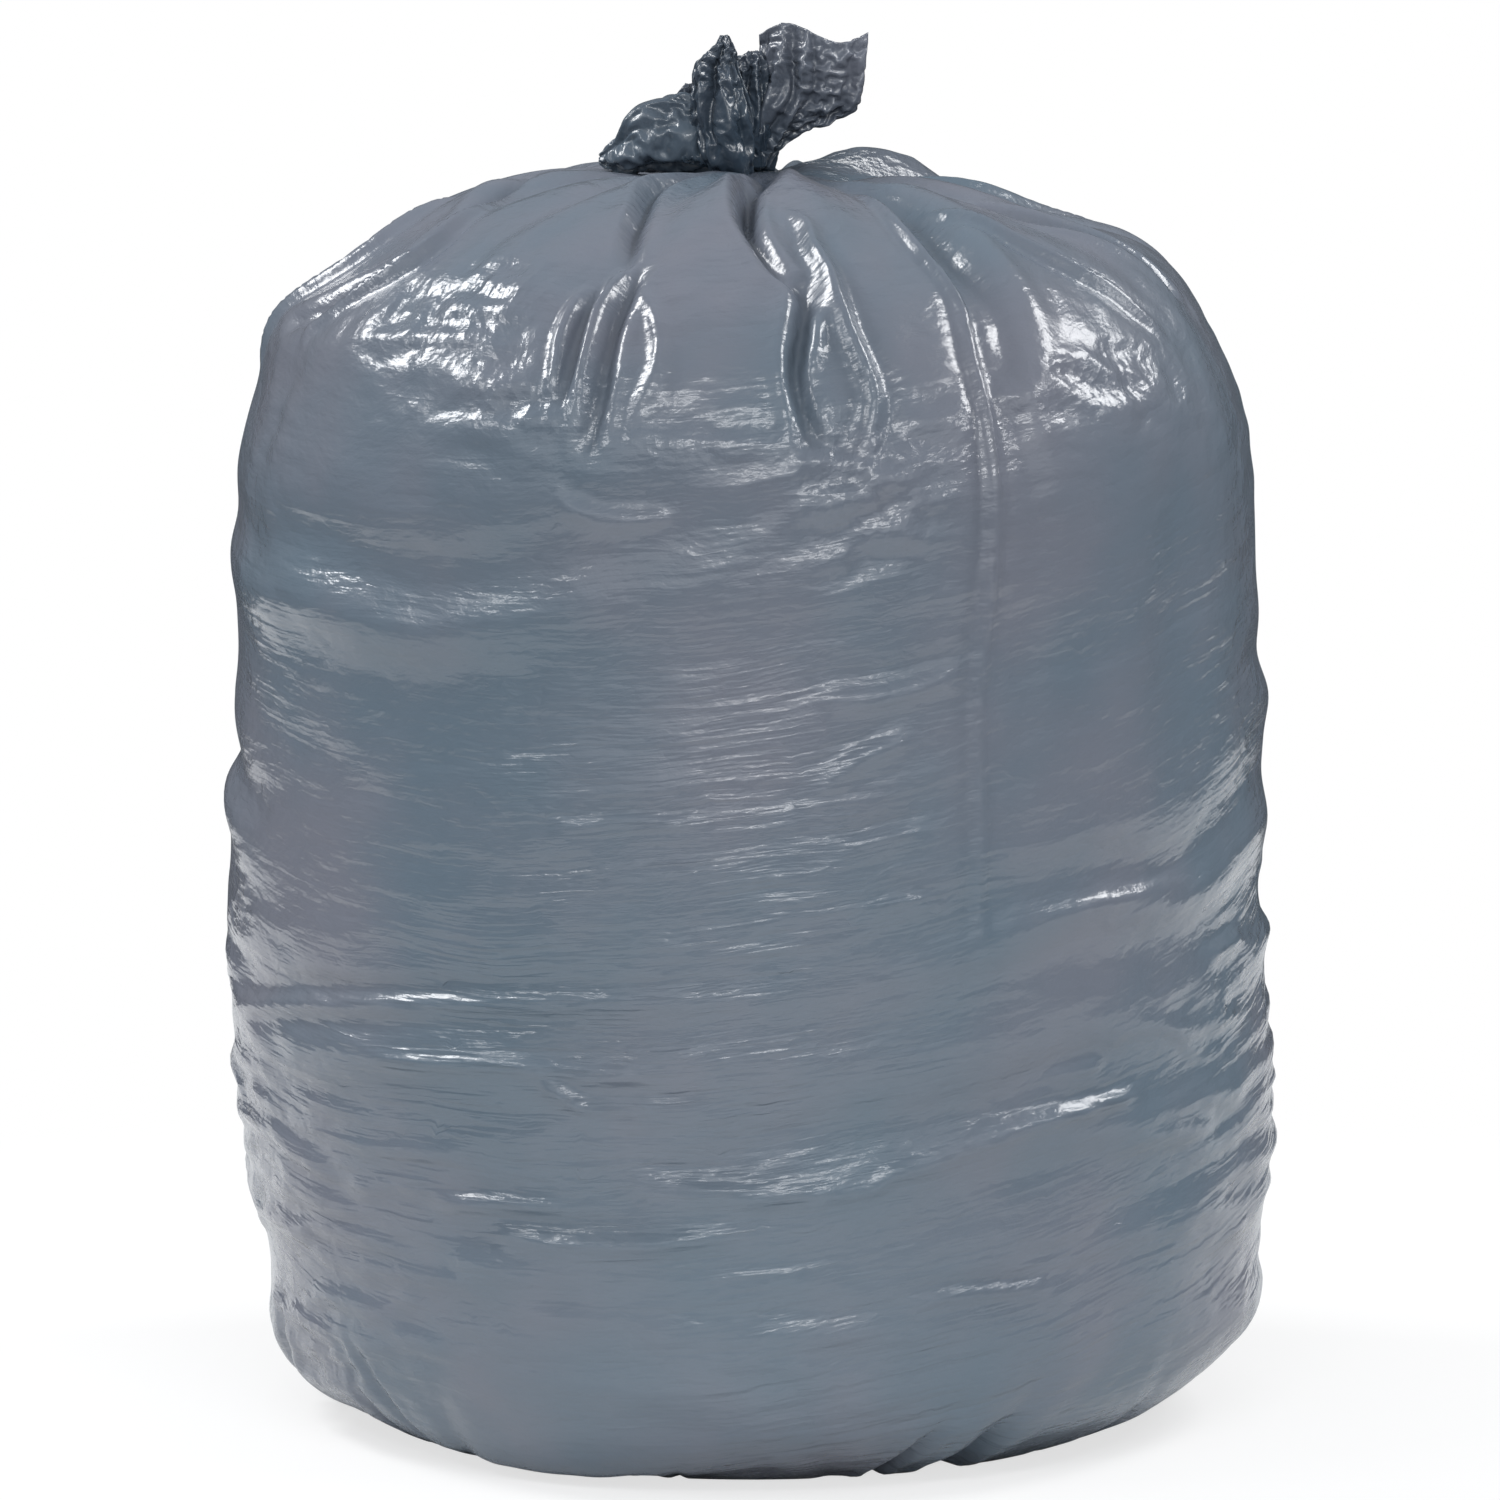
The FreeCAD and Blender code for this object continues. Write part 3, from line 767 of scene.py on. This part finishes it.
def crumpled_film(slack_along, slack_round, seed):
    """The film after its slack has buckled, first in wide folds and then in fine wrinkles."""
    off = None
    for level, stage in enumerate(LEVELS):
        columns = GRID_ROUND // stage["coarse"]
        angle, height, along, from_neck, base, normal = film_grid(GRID_STEP * stage["coarse"], columns)
        rng = np.random.default_rng(seed + level)
        rows = len(along)
        more_along, more_round = spare_film(rng, stage, (slack_along, slack_round), angle, height, from_neck)
        seeds = wrinkle_seeds(rng, level, angle, height, from_neck)
        points = base + normal * seeds[..., None]
        if off is not None:
            points = points + respread(off, rows, columns)
        depth, cells_along, cells_round = DIPS
        dip = ramp(smooth_noise(rng, rows, columns, cells_along, cells_round), DIP_FULL)
        low = WRINKLE_LOW - depth * dip * dip * (3.0 - 2.0 * dip)
        rest = rest_lengths(base, more_round, more_along)
        free = ramp(from_neck, FREE_FADE)
        limits = (low, WRINKLE_HIGH)
        relax(points, base, normal, rest, limits, stage["rounds"], stage["stiffness"], SLIDE_BACK, free)
        off = points - base
    return angle, height, along, from_neck, points


def sleeve_grid(name):
    """One sleeve of the knot: rings of points from inside the knot to its far end, and their normals."""
    stations = SLEEVES[name]
    lines = [spline_through(column, SLEEVE_ROWS)[0] for column in zip(*(row for _, row in stations))]
    half = SLEEVE_COLUMNS // 2
    sheet = np.stack([spline_through(row, half + 1)[0] for row in zip(*lines)])
    share = np.linspace(0.0, 1.0, SLEEVE_ROWS)[:, None]
    across = np.linspace(0.0, 1.0, half + 1)[None, :]
    thick = np.interp(share, np.linspace(0.0, 1.0, len(stations)), [row[0] for row in stations])
    along_way = np.gradient(sheet, axis=0)
    across_way = np.gradient(sheet, axis=1)
    facing = np.cross(across_way, along_way)
    facing /= np.linalg.norm(facing, axis=-1, keepdims=True)
    sheet = sheet + (sleeve_pleats(name, share, across) * edge_fade(across))[..., None] * facing
    edge_power, edge_thickness = 0.6, 0.3
    belly = 0.5 * thick * np.sin(np.pi * across) ** edge_power + edge_thickness * edge_fade(across)
    front = sheet + belly[..., None] * facing
    behind = sheet - belly[..., None] * facing
    rings = np.concatenate([front, behind[:, -2:0:-1]], axis=1)
    normal = np.concatenate([facing, -facing[:, -2:0:-1]], axis=1)
    return rings, normal, share, thick


def edge_fade(across):
    """0 at a sleeve's two edges and 1 over the rest of its width."""
    fade = 0.08
    return ramp(np.minimum(across, 1.0 - across), fade)


def sleeve_pleats(name, share, across):
    """How far a sleeve's pleats stand out. They wander, start shallow and fade before the far end."""
    wander, wander_turns, wander_shift = 0.03, 9.0, 20.0
    shallow, deepening = 0.4, 1.6
    end, end_fade = 1.06, 0.3
    pressed = 0.0
    for start, stop, width, depth in SLEEVE_PLEATS[name]:
        bent = wander * np.sin(wander_turns * share + wander_shift * start)
        off = (across - start - (stop - start) * share - bent) / width
        fold = depth * crest(off) * np.clip(shallow + deepening * share, 0.0, 1.0)
        pressed = pressed + fold * ramp(end - share, end_fade)
    return pressed


def crumpled_sleeve(name, slack, seed):
    """One sleeve of the knot after its film has crumpled, with the distances along and across it."""
    rng = np.random.default_rng(seed)
    base, normal, share, thick = sleeve_grid(name)
    shape = base.shape[:2]
    size, cells_along, cells_round = SLEEVE_PATCHES
    more = slack * (1.0 + size * np.clip(smooth_noise(rng, *shape, cells_along, cells_round), -1.0, 1.0))
    most, seeded = 1.5, 0.5
    bulk = np.clip(noise_field(rng, shape, SLEEVE_BULK), -most, most) + noise_field(rng, shape, SLEEVE_SEEDS)
    room = np.clip(SLEEVE_ROOM * thick, *SLEEVE_ROOM_LIMITS)
    points = base + (seeded * bulk * room)[..., None] * normal
    free = np.broadcast_to(ramp(share, SLEEVE_ROOT), shape)
    rest = rest_lengths(base, more, more)
    limits = (-room, SLEEVE_ROOM_OUT * room)
    relax(points, base, normal, rest, limits, SLEEVE_ROUNDS, SLEEVE_STIFFNESS, SLEEVE_SLIDE_BACK, free)
    along = np.cumsum(np.linalg.norm(np.diff(base, axis=0, prepend=base[:1]), axis=-1), axis=0)
    around = np.cumsum(np.linalg.norm(base - np.roll(base, 1, axis=1), axis=-1), axis=1)
    return points, share, np.stack([around, np.zeros_like(around), along], axis=-1)


def ring_mesh(name, points, attributes, slit):
    """A closed mesh of rings. Each end closes at a pole, or along a slit."""
    rows, columns = points.shape[:2]
    index = np.arange(rows * columns).reshape(rows, columns)
    after = np.roll(index, -1, axis=1)
    faces = np.stack([index[:-1], after[:-1], after[1:], index[1:]], axis=-1).reshape(-1, 4).tolist()
    corners = points.reshape(-1, 3)
    if slit:
        for level in (0, rows - 1):
            ring = index[level].tolist()
            cap = [(ring[i - 1], ring[i], ring[-i], ring[1 - i]) for i in range(2, columns // 2)]
            cap.append((ring[0], ring[1], ring[-1]))
            cap.append((ring[columns // 2], ring[columns // 2 + 1], ring[columns // 2 - 1]))
            faces += cap if level else [face[::-1] for face in cap]
    else:
        corners = np.concatenate([corners, [points[0].mean(axis=0), points[-1].mean(axis=0)]])
        faces += [(rows * columns, after[0, i], index[0, i]) for i in range(columns)]
        faces += [(rows * columns + 1, index[-1, i], after[-1, i]) for i in range(columns)]
    mesh = bpy.data.meshes.new(name)
    mesh.from_pydata(corners.tolist(), [], faces)
    for key, values in attributes.items():
        flat = values.reshape(-1, 3)
        if not slit:
            flat = np.concatenate([flat, [values[0].mean(axis=0), values[-1].mean(axis=0)]])
        layer = mesh.attributes.new(key, "FLOAT_VECTOR", "POINT")
        layer.data.foreach_set("vector", flat.astype(np.float32).ravel())
    mesh.update()
    return mesh


def add_piece(name, mesh, material):
    piece = bpy.data.objects.new(name, mesh)
    bpy.context.scene.collection.objects.link(piece)
    mesh.materials.append(material)
    mesh.shade_smooth()
    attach(piece, "root")
    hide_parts("tied_bag")
    return piece


def grey_film(settings):
    return bpy.data.materials.get("grey_film") or film_material(settings)


def sleeve_tone(name, rising, points):
    """Tone: dark in the knot, partly layers and partly painted shade; a painted highlight at the loose end's
    far corner.
    """
    tone = SLEEVE_TONES[name] + TONE_RISE * rising
    if name == "tail":
        # Painted highlight: the loose end's far upper corner is made paler, as a smooth facet that catches
        # the light.
        start_x, fade_x, start_z, fade_z, gain = 24.0, 26.0, 640.0, 22.0, 0.35
        painted_highlight_corner = ramp(points[..., 0] - start_x, fade_x) * ramp(points[..., 2] - start_z, fade_z)
        tone = tone + gain * painted_highlight_corner
    return tone


def thinned(mesh, most):
    """The mesh with at most this many triangles."""
    count = sum(len(face.vertices) - 2 for face in mesh.polygons)
    if count <= most:
        return mesh
    holder = bpy.data.objects.new("holder", mesh)
    bpy.context.scene.collection.objects.link(holder)
    modifier = holder.modifiers.new("thin", "DECIMATE")
    modifier.ratio = most / count
    graph = bpy.context.evaluated_depsgraph_get()
    result = bpy.data.meshes.new_from_object(holder.evaluated_get(graph))
    bpy.data.objects.remove(holder)
    bpy.data.meshes.remove(mesh)
    return result


def new_group(name, inputs, outputs):
    """An empty shader group with these sockets, and its two ends."""
    group = bpy.data.node_groups.new(name, "ShaderNodeTree")
    for key, kind in inputs.items():
        group.interface.new_socket(key, in_out="INPUT", socket_type=kind)
    for key, kind in outputs.items():
        group.interface.new_socket(key, in_out="OUTPUT", socket_type=kind)
    return group, group.nodes.new("NodeGroupInput"), group.nodes.new("NodeGroupOutput")


def fill_inputs(tree, node, inputs):
    """Each input is linked to a socket or given a value."""
    for key, value in inputs.items():
        if isinstance(value, bpy.types.NodeSocket):
            tree.links.new(value, node.inputs[key])
        else:
            node.inputs[key].default_value = value


def add_node(tree, kind, inputs=(), **settings):
    """A shader node with its settings and inputs."""
    node = tree.nodes.new("ShaderNode" + kind)
    for key, value in settings.items():
        setattr(node, key, value)
    fill_inputs(tree, node, dict(inputs))
    return node


def add_math(tree, operation, first, second):
    """A math node on two values, each a socket or a number."""
    return add_node(tree, "Math", {0: first, 1: second}, operation=operation).outputs["Value"]


def add_stretch(tree, vector, stretch):
    return add_node(tree, "VectorMath", {0: vector, 1: stretch}, operation="MULTIPLY").outputs["Vector"]


def add_noise(tree, vector, scale, detail):
    return add_node(tree, "TexNoise", {"Vector": vector, "Scale": scale, "Detail": detail}).outputs


def add_range(tree, value, come, go, smooth):
    """A value brought from one range to another."""
    inputs = dict(zip(("From Min", "From Max", "To Min", "To Max"), (*come, *go)))
    inputs["Value"] = value
    kind = "SMOOTHSTEP" if smooth else "LINEAR"
    return add_node(tree, "MapRange", inputs, interpolation_type=kind).outputs["Result"]


def add_blend(tree, share, first, second):
    """One colour blended into another."""
    inputs = {"Factor": share, "A": first, "B": second}
    return add_node(tree, "Mix", inputs, data_type="RGBA", clamp_factor=True).outputs["Result"]


def add_camera_switch(tree, share, first, second, end):
    """One shader for all rays, and a share of another for the rays that come from the camera."""
    rays = add_node(tree, "LightPath").outputs["Is Camera Ray"]
    mix = add_node(tree, "MixShader", {"Fac": add_math(tree, "MULTIPLY", rays, share), 1: first, 2: second})
    tree.links.new(mix.outputs["Shader"], tree.nodes[end].inputs["Surface"])


def add_facets(tree, vector, scale):
    return add_node(tree, "TexVoronoi", {"Vector": vector, "Scale": scale}).outputs["Distance"]


def add_drift(tree, place, scale, reach):
    """The place, moved by a noise."""
    noise = add_noise(tree, place, scale, detail=2.0)["Color"]
    inputs = {0: noise, 1: (reach, reach, reach), 2: place}
    return add_node(tree, "VectorMath", inputs, operation="MULTIPLY_ADD").outputs["Vector"]


def add_ridges(tree, noise, rounding):
    """Ridges where a noise crosses its middle, rounded more where the noise is nearly flat."""
    middle, top = 0.5, 0.3
    off_middle = add_math(tree, "SUBTRACT", noise, middle)
    squared = add_math(tree, "ADD", add_math(tree, "MULTIPLY", off_middle, off_middle), rounding * rounding)
    return add_math(tree, "SUBTRACT", top, add_math(tree, "SQRT", squared, 0.0))


def add_sum(tree, terms):
    """The sum of values, each times its weight, which is a socket or a number."""
    total = 0.0
    for value, weight in terms:
        total = add_math(tree, "ADD", add_math(tree, "MULTIPLY", value, weight), total)
    return total


def crinkle_group():
    """The film's fine relief: small crushed facets, long fine lines round the bag and a slight unevenness."""
    inputs = {"Place": "NodeSocketVector", "Crushed": "NodeSocketFloat", "Lined": "NodeSocketFloat"}
    group, start, end = new_group("film_crinkle", inputs, {"Height": "NodeSocketFloat"})
    place = start.outputs["Place"]
    warped = add_drift(group, place, scale=16.0, reach=0.02)
    swung = add_drift(group, place, scale=3.0, reach=0.1)
    drawn = add_drift(group, place, scale=7.0, reach=0.02)
    large = add_facets(group, add_stretch(group, warped, (1.0, 1.0, 0.6)), scale=95.0)
    small = add_facets(group, add_stretch(group, warped, (1.0, 1.0, 0.8)), scale=210.0)
    streaks = add_noise(group, add_stretch(group, drawn, (0.7, 0.7, 9.0)), scale=14.0, detail=3.0)["Fac"]
    folds = add_noise(group, add_stretch(group, swung, (1.0, 1.0, 5.0)), scale=5.5, detail=2.0)["Fac"]
    plain = add_noise(group, add_stretch(group, warped, (1.0, 1.0, 1.8)), scale=34.0, detail=5.0)["Fac"]
    facets = add_sum(group, [(large, 0.7), (small, 0.3)])
    lines = add_sum(group, [(add_ridges(group, streaks, 0.008), 1.5), (add_ridges(group, folds, 0.03), 4.2)])
    crushed, lined = start.outputs["Crushed"], start.outputs["Lined"]
    height = add_sum(group, [(facets, crushed), (lines, lined), (plain, 1.5)])
    group.links.new(height, end.inputs["Height"])
    return group


def tint_group():
    """The film's grey: it wanders between a cool and a warm one, and deepens where layers lie together and
    where shade is painted.
    """
    inputs = {"Place": "NodeSocketVector", "Tone": "NodeSocketFloat"}
    inputs.update({key: "NodeSocketColor" for key in GREYS})
    group, start, end = new_group("film_tint", inputs, {"Color": "NodeSocketColor"})
    cloud = add_noise(group, start.outputs["Place"], scale=7.0, detail=3.0)["Fac"]
    spread = add_range(group, cloud, (0.28, 0.72), (0.0, 1.0), smooth=True)
    thin = add_blend(group, spread, start.outputs["Cool"], start.outputs["Warm"])
    layered = add_blend(group, start.outputs["Tone"], start.outputs["Deep"], thin)
    group.links.new(layered, end.inputs["Color"])
    return group


# The film's finish. Its roughness stays under 0.27, where the denoiser starts to treat a gloss as a matt
# surface and draws an outline. CRINKLE_HEIGHT is in metres, for a relief of 1.
FILM_IOR = 1.5
ROUGHNESS_LEAST = 0.13
ROUGHNESS_SPREAD = 0.18
CRINKLE_HEIGHT = 0.0016
GREYS = ("Cool", "Warm", "Deep")


def film_material(settings):
    """The grey film. Each point of a mesh carries its place on the film, its tone with the painted shade,
    crushing and lines.
    """
    material = bpy.data.materials.new("grey_film")
    material.use_nodes = True
    tree = material.node_tree
    place = add_node(tree, "Attribute", attribute_name="film_place").outputs["Vector"]
    shade_crush_lines = add_node(tree, "Attribute", attribute_name="film_shade_crush_lines").outputs["Vector"]
    parts = add_node(tree, "SeparateXYZ", {"Vector": shade_crush_lines}).outputs
    inputs = {key: (*getattr(settings, key.lower()), 1.0) for key in GREYS}
    inputs |= {"Place": place, "Tone": parts["X"]}
    tint = add_node(tree, "Group", inputs, node_tree=tint_group())
    gloss = add_noise(tree, place, scale=11.0, detail=3.0)["Fac"]
    rough = add_math(tree, "ADD", add_math(tree, "MULTIPLY", gloss, ROUGHNESS_SPREAD), ROUGHNESS_LEAST)
    inputs = {"Place": place, "Crushed": parts["Y"], "Lined": parts["Z"]}
    crinkle = add_node(tree, "Group", inputs, node_tree=crinkle_group())
    bump = add_node(tree, "Bump", {"Distance": CRINKLE_HEIGHT, "Height": crinkle.outputs["Height"]})
    inputs = {"IOR": FILM_IOR, "Roughness": rough, "Normal": bump.outputs["Normal"]}
    inputs["Base Color"] = tint.outputs["Color"]
    fill_inputs(tree, tree.nodes["Principled BSDF"], inputs)
    return material


def share_setting(name, description, default, most):
    return bpy.props.FloatProperty(
        name=name, description=description, default=default, min=0.0, max=most, subtype="FACTOR"
    )


def colour_setting(name, description, default):
    return bpy.props.FloatVectorProperty(
        name=name, description=description, default=default, size=3, min=0.0, max=1.0, subtype="COLOR"
    )


class FilmSettings(bpy.types.PropertyGroup):
    slack_along: share_setting("Slack along", "Spare film from floor to knot", 0.06, 0.2)
    slack_round: share_setting("Slack round", "Spare film round the bag", 0.03, 0.2)
    knot_slack: share_setting("Slack in the knot", "Spare film in the knot's folds", 0.13, 0.4)
    seed: bpy.props.IntProperty(name="Seed", description="Another set of wrinkles", default=7)
    cool: colour_setting("Cool grey", "The film's bluer grey", (0.102, 0.137, 0.172))
    warm: colour_setting("Warm grey", "The film's warmer grey", (0.143, 0.152, 0.184))
    # The grey that a low tone blends to: for layered film, and for the painted shade round and inside the
    # knot.
    deep: colour_setting("Layered grey", "The grey of many layers and of painted shade", (0.014, 0.026, 0.042))


class StageSettings(bpy.types.PropertyGroup):
    distance: bpy.props.FloatProperty(
        name="Camera distance", description="From the bag's axis", default=4.0, unit="LENGTH"
    )
    elevation: bpy.props.FloatProperty(
        name="Camera elevation", description="Above level", default=math.radians(7.0), subtype="ANGLE"
    )
    aim: bpy.props.FloatProperty(
        name="Aim height", description="The height that the camera looks at", default=0.3275, unit="LENGTH"
    )
    view_width: bpy.props.FloatProperty(
        name="View width", description="The width seen at the bag's axis", default=0.739, unit="LENGTH"
    )


def film_place(angle, along):
    """Where the material's patterns lie, in metres: round the bag, and along the film with a slight swing."""
    pattern_radius, swing_front, swing_side = 0.25, 0.04, 0.03
    turn = np.radians(angle)
    rise = along[:, None] / PER_METRE + swing_front * np.cos(turn) - swing_side * np.sin(turn)
    return np.stack([pattern_radius * np.sin(turn), -pattern_radius * np.cos(turn), rise], axis=-1)


def film_tone(angle, from_neck, points):
    """The film's tone, lowered by painted shade: round the knot, where the film also lies in layers, in the
    shoulder's folds and in a hollow behind.
    """
    at_neck, neck_reach = 0.6, 45.0
    fold_shade, fold_depth, fold_reach = 0.55, 7.0, 170.0
    behind, behind_angle, behind_spread, behind_reach = 0.35, 140.0, 32.0, 120.0
    radius = np.hypot(points[..., 0], points[..., 1])
    # Painted shade: darker round the neck, partly for the film's layers, and darker in the valleys of the
    # shoulder's folds.
    fold_shade_mask = ramp(-shoulder_shape(angle, from_neck, radius), fold_depth)
    tone = 1.0 - at_neck * bell(from_neck / neck_reach) - fold_shade * fold_shade_mask * bell(from_neck / fold_reach)
    # Painted shade: a darker patch in the hollow behind the knot, on the back right.
    return tone - behind * bell(turned(angle - behind_angle) / behind_spread) * bell(from_neck / behind_reach)


def film_lines(angle, height, seed):
    """How strong the fine lines are: patchy, weak on the shoulder and where the film is taut."""
    middle, least, most = 0.95, 0.3, 1.7
    line_top, line_fade, least_above = 560.0, 260.0, 0.25
    patches = noise_field(np.random.default_rng(seed), angle.shape, LINE_PATCHES)
    lined = np.clip(middle + patches, least, most)
    lined = lined * np.clip((line_top - height) / line_fade, least_above, 1.0)
    for row in TAUT:
        lined *= 1.0 - patch(row, angle, height)
    return lined


class BAG_OT_body(bpy.types.Operator):
    """Build the full body of the bag, with its slack film buckled"""

    bl_idname = "bag.body"
    bl_label = "Build the body"

    def execute(self, context):
        settings = context.scene.film_settings
        slack_along, slack_round, seed = settings.slack_along, settings.slack_round, settings.seed
        angle, height, along, from_neck, points = crumpled_film(slack_along, slack_round, seed)
        tone = film_tone(angle, from_neck, points)
        lined = film_lines(angle, height, seed)
        # The tone, with its painted shade, goes to the material beside the crushing and the lines.
        shade_crush_lines = np.stack([tone, crushed_share(angle, height), lined], axis=-1)
        attributes = {"film_place": film_place(angle, along), "film_shade_crush_lines": shade_crush_lines}
        mesh = thinned(ring_mesh("bag_body", points * UNIT, attributes, slit=False), MOST_TRIANGLES)
        piece = add_piece("bag_body", mesh, grey_film(settings))
        return {"FINISHED"}


class BAG_OT_knot(bpy.types.Operator):
    """Build the folds of the knot: its turns, its loop and its loose end"""

    bl_idname = "bag.knot"
    bl_label = "Build the knot"

    def execute(self, context):
        settings = context.scene.film_settings
        for index, name in enumerate(SLEEVES):
            seed = settings.seed + SLEEVE_SEED_GAP + index
            points, share, place = crumpled_sleeve(name, settings.knot_slack, seed)
            tone = sleeve_tone(name, np.broadcast_to(share, place.shape[:2]), points)
            # The sleeve's tone, with its painted shade and painted highlight, goes to the material; the knot
            # is crushed evenly and has no lines.
            shade_crush_lines = np.stack([tone, SLEEVE_CRUSHED * np.ones_like(tone), np.zeros_like(tone)], axis=-1)
            place = place / PER_METRE + (SLEEVE_TEXTURE_GAP * index, 0.0, 0.0)
            attributes = {"film_place": place, "film_shade_crush_lines": shade_crush_lines}
            mesh = ring_mesh(f"knot_{name}", points * UNIT, attributes, slit=True)
            add_piece(f"knot_{name}", mesh, grey_film(settings))
        return {"FINISHED"}


# The lamps: name, place in metres, width, depth and power in watts. All face LIGHT_TARGET.
LIGHTS = [
    ("left_box", (-1.6, 0.4, 2.0), 0.8, 0.8, 38.0),
    ("right_box", (1.6, 0.3, 2.0), 0.8, 0.8, 28.0),
    ("front_strip", (0.15, -2.3, 1.95), 1.5, 0.35, 20.0),
    ("left_strip", (-2.0, -1.15, 2.0), 0.9, 0.3, 10.0),
    ("right_strip", (2.0, -1.15, 2.0), 0.9, 0.3, 10.0),
]
LIGHT_TARGET = Vector((0, 0, 0.35))
SENSOR_WIDTH = 36.0


class BAG_OT_stage(bpy.types.Operator):
    """Build the pale floor, the soft lights and the camera"""

    bl_idname = "bag.stage"
    bl_label = "Build the stage"

    def execute(self, context):
        settings = context.scene.stage_settings
        add_floor()
        add_world()
        add_lights()
        add_camera(settings)
        context.scene.view_settings.view_transform = "Standard"
        return {"FINISHED"}


def add_floor():
    """A white floor that keeps a soft shadow near the bag and fades into the backdrop."""
    reach, grey, roughness = 1.5, 0.9, 0.9
    fade_start, fade_end, glow_near = 0.3, 0.9, 0.7
    mesh = bpy.data.meshes.new("floor")
    corners = [(-reach, -reach, 0), (reach, -reach, 0), (reach, reach, 0), (-reach, reach, 0)]
    mesh.from_pydata(corners, [], [(0, 1, 2, 3)])
    floor = bpy.data.objects.new("floor", mesh)
    bpy.context.scene.collection.objects.link(floor)
    material = bpy.data.materials.new("pale_floor")
    material.use_nodes = True
    tree = material.node_tree
    shader = tree.nodes["Principled BSDF"]
    inputs = {"Base Color": (grey, grey, grey, 1.0), "Roughness": roughness, "Specular IOR Level": 0.0}
    fill_inputs(tree, shader, inputs)
    place = add_node(tree, "TexCoord").outputs["Object"]
    far = add_node(tree, "VectorMath", {0: place}, operation="LENGTH").outputs["Value"]
    fade = add_range(tree, far, (fade_start, fade_end), (glow_near, 1.0), smooth=False)
    glow = add_node(tree, "Emission").outputs["Emission"]
    add_camera_switch(tree, fade, shader.outputs["BSDF"], glow, "Material Output")
    mesh.materials.append(material)


def add_world():
    """A soft dome, brighter towards the front and above level, and plain white where the camera sees it."""
    sky, white = (0.92, 0.96, 1.0, 1.0), (1.0, 1.0, 1.0, 1.0)
    low, high, high_at = 0.04, 0.33, 0.8
    front_start, front_light = -0.35, 1.6
    rise_start, rise_end = -0.1, 0.35
    world = bpy.data.worlds.new("studio")
    world.use_nodes = True
    tree = world.node_tree
    facing = add_node(tree, "TexCoord").outputs["Generated"]
    parts = add_node(tree, "SeparateXYZ", {"Vector": facing}).outputs
    dome = add_range(tree, parts["Z"], (0.0, high_at), (low, high), smooth=False)
    front = add_range(tree, parts["Y"], (front_start, -1.0), (0.0, front_light), smooth=True)
    rise = add_range(tree, parts["Z"], (rise_start, rise_end), (0.0, 1.0), smooth=True)
    strength = add_math(tree, "ADD", dome, add_math(tree, "MULTIPLY", front, rise))
    light = tree.nodes["Background"]
    fill_inputs(tree, light, {"Color": sky, "Strength": strength})
    seen = add_node(tree, "Background", {"Color": white})
    add_camera_switch(tree, 1.0, light.outputs["Background"], seen.outputs["Background"], "World Output")
    bpy.context.scene.world = world


def add_lights():
    """Lamps that the shoulder's two crushed patches and the front's ridges mirror to the camera."""
    for name, place, width, depth, power in LIGHTS:
        light = bpy.data.lights.new(name, "AREA")
        light.shape = "RECTANGLE"
        light.size = width
        light.size_y = depth
        light.energy = power
        holder = bpy.data.objects.new(name, light)
        holder.location = place
        holder.rotation_euler = (LIGHT_TARGET - Vector(place)).to_track_quat("-Z", "Y").to_euler()
        bpy.context.scene.collection.objects.link(holder)


def add_camera(settings):
    camera = bpy.data.cameras.new("camera")
    camera.sensor_width = SENSOR_WIDTH
    camera.lens = camera.sensor_width * settings.distance / settings.view_width
    holder = bpy.data.objects.new("camera", camera)
    away = Vector((0, -math.cos(settings.elevation), math.sin(settings.elevation)))
    target = Vector((0, 0, settings.aim))
    holder.location = target + away * settings.distance
    holder.rotation_euler = (-away).to_track_quat("-Z", "Y").to_euler()
    bpy.context.scene.collection.objects.link(holder)
    bpy.context.scene.camera = holder


class BAG_PT_panel(bpy.types.Panel):
    """The bag's sizes and its building steps"""

    bl_idname = "BAG_PT_panel"
    bl_label = "Tied bin bag"
    bl_space_type = "VIEW_3D"
    bl_region_type = "UI"
    bl_category = "Bin bag"

    def draw(self, context):
        for group in (context.scene.film_settings, context.scene.stage_settings):
            for key in group.__annotations__:
                self.layout.prop(group, key)
        for step in STEPS:
            self.layout.operator(step.bl_idname)


STEPS = (BAG_OT_body, BAG_OT_knot, BAG_OT_stage)
CLASSES = (FilmSettings, StageSettings, *STEPS, BAG_PT_panel)


def register():
    for entry in CLASSES:
        bpy.utils.register_class(entry)
    bpy.types.Scene.film_settings = bpy.props.PointerProperty(type=FilmSettings)
    bpy.types.Scene.stage_settings = bpy.props.PointerProperty(type=StageSettings)


def unregister():
    del bpy.types.Scene.stage_settings
    del bpy.types.Scene.film_settings
    for entry in reversed(CLASSES):
        bpy.utils.unregister_class(entry)


def main():
    register()
    bpy.ops.bag.body()
    bpy.ops.bag.knot()
    bpy.ops.bag.stage()


if __name__ == "__main__":
    main()
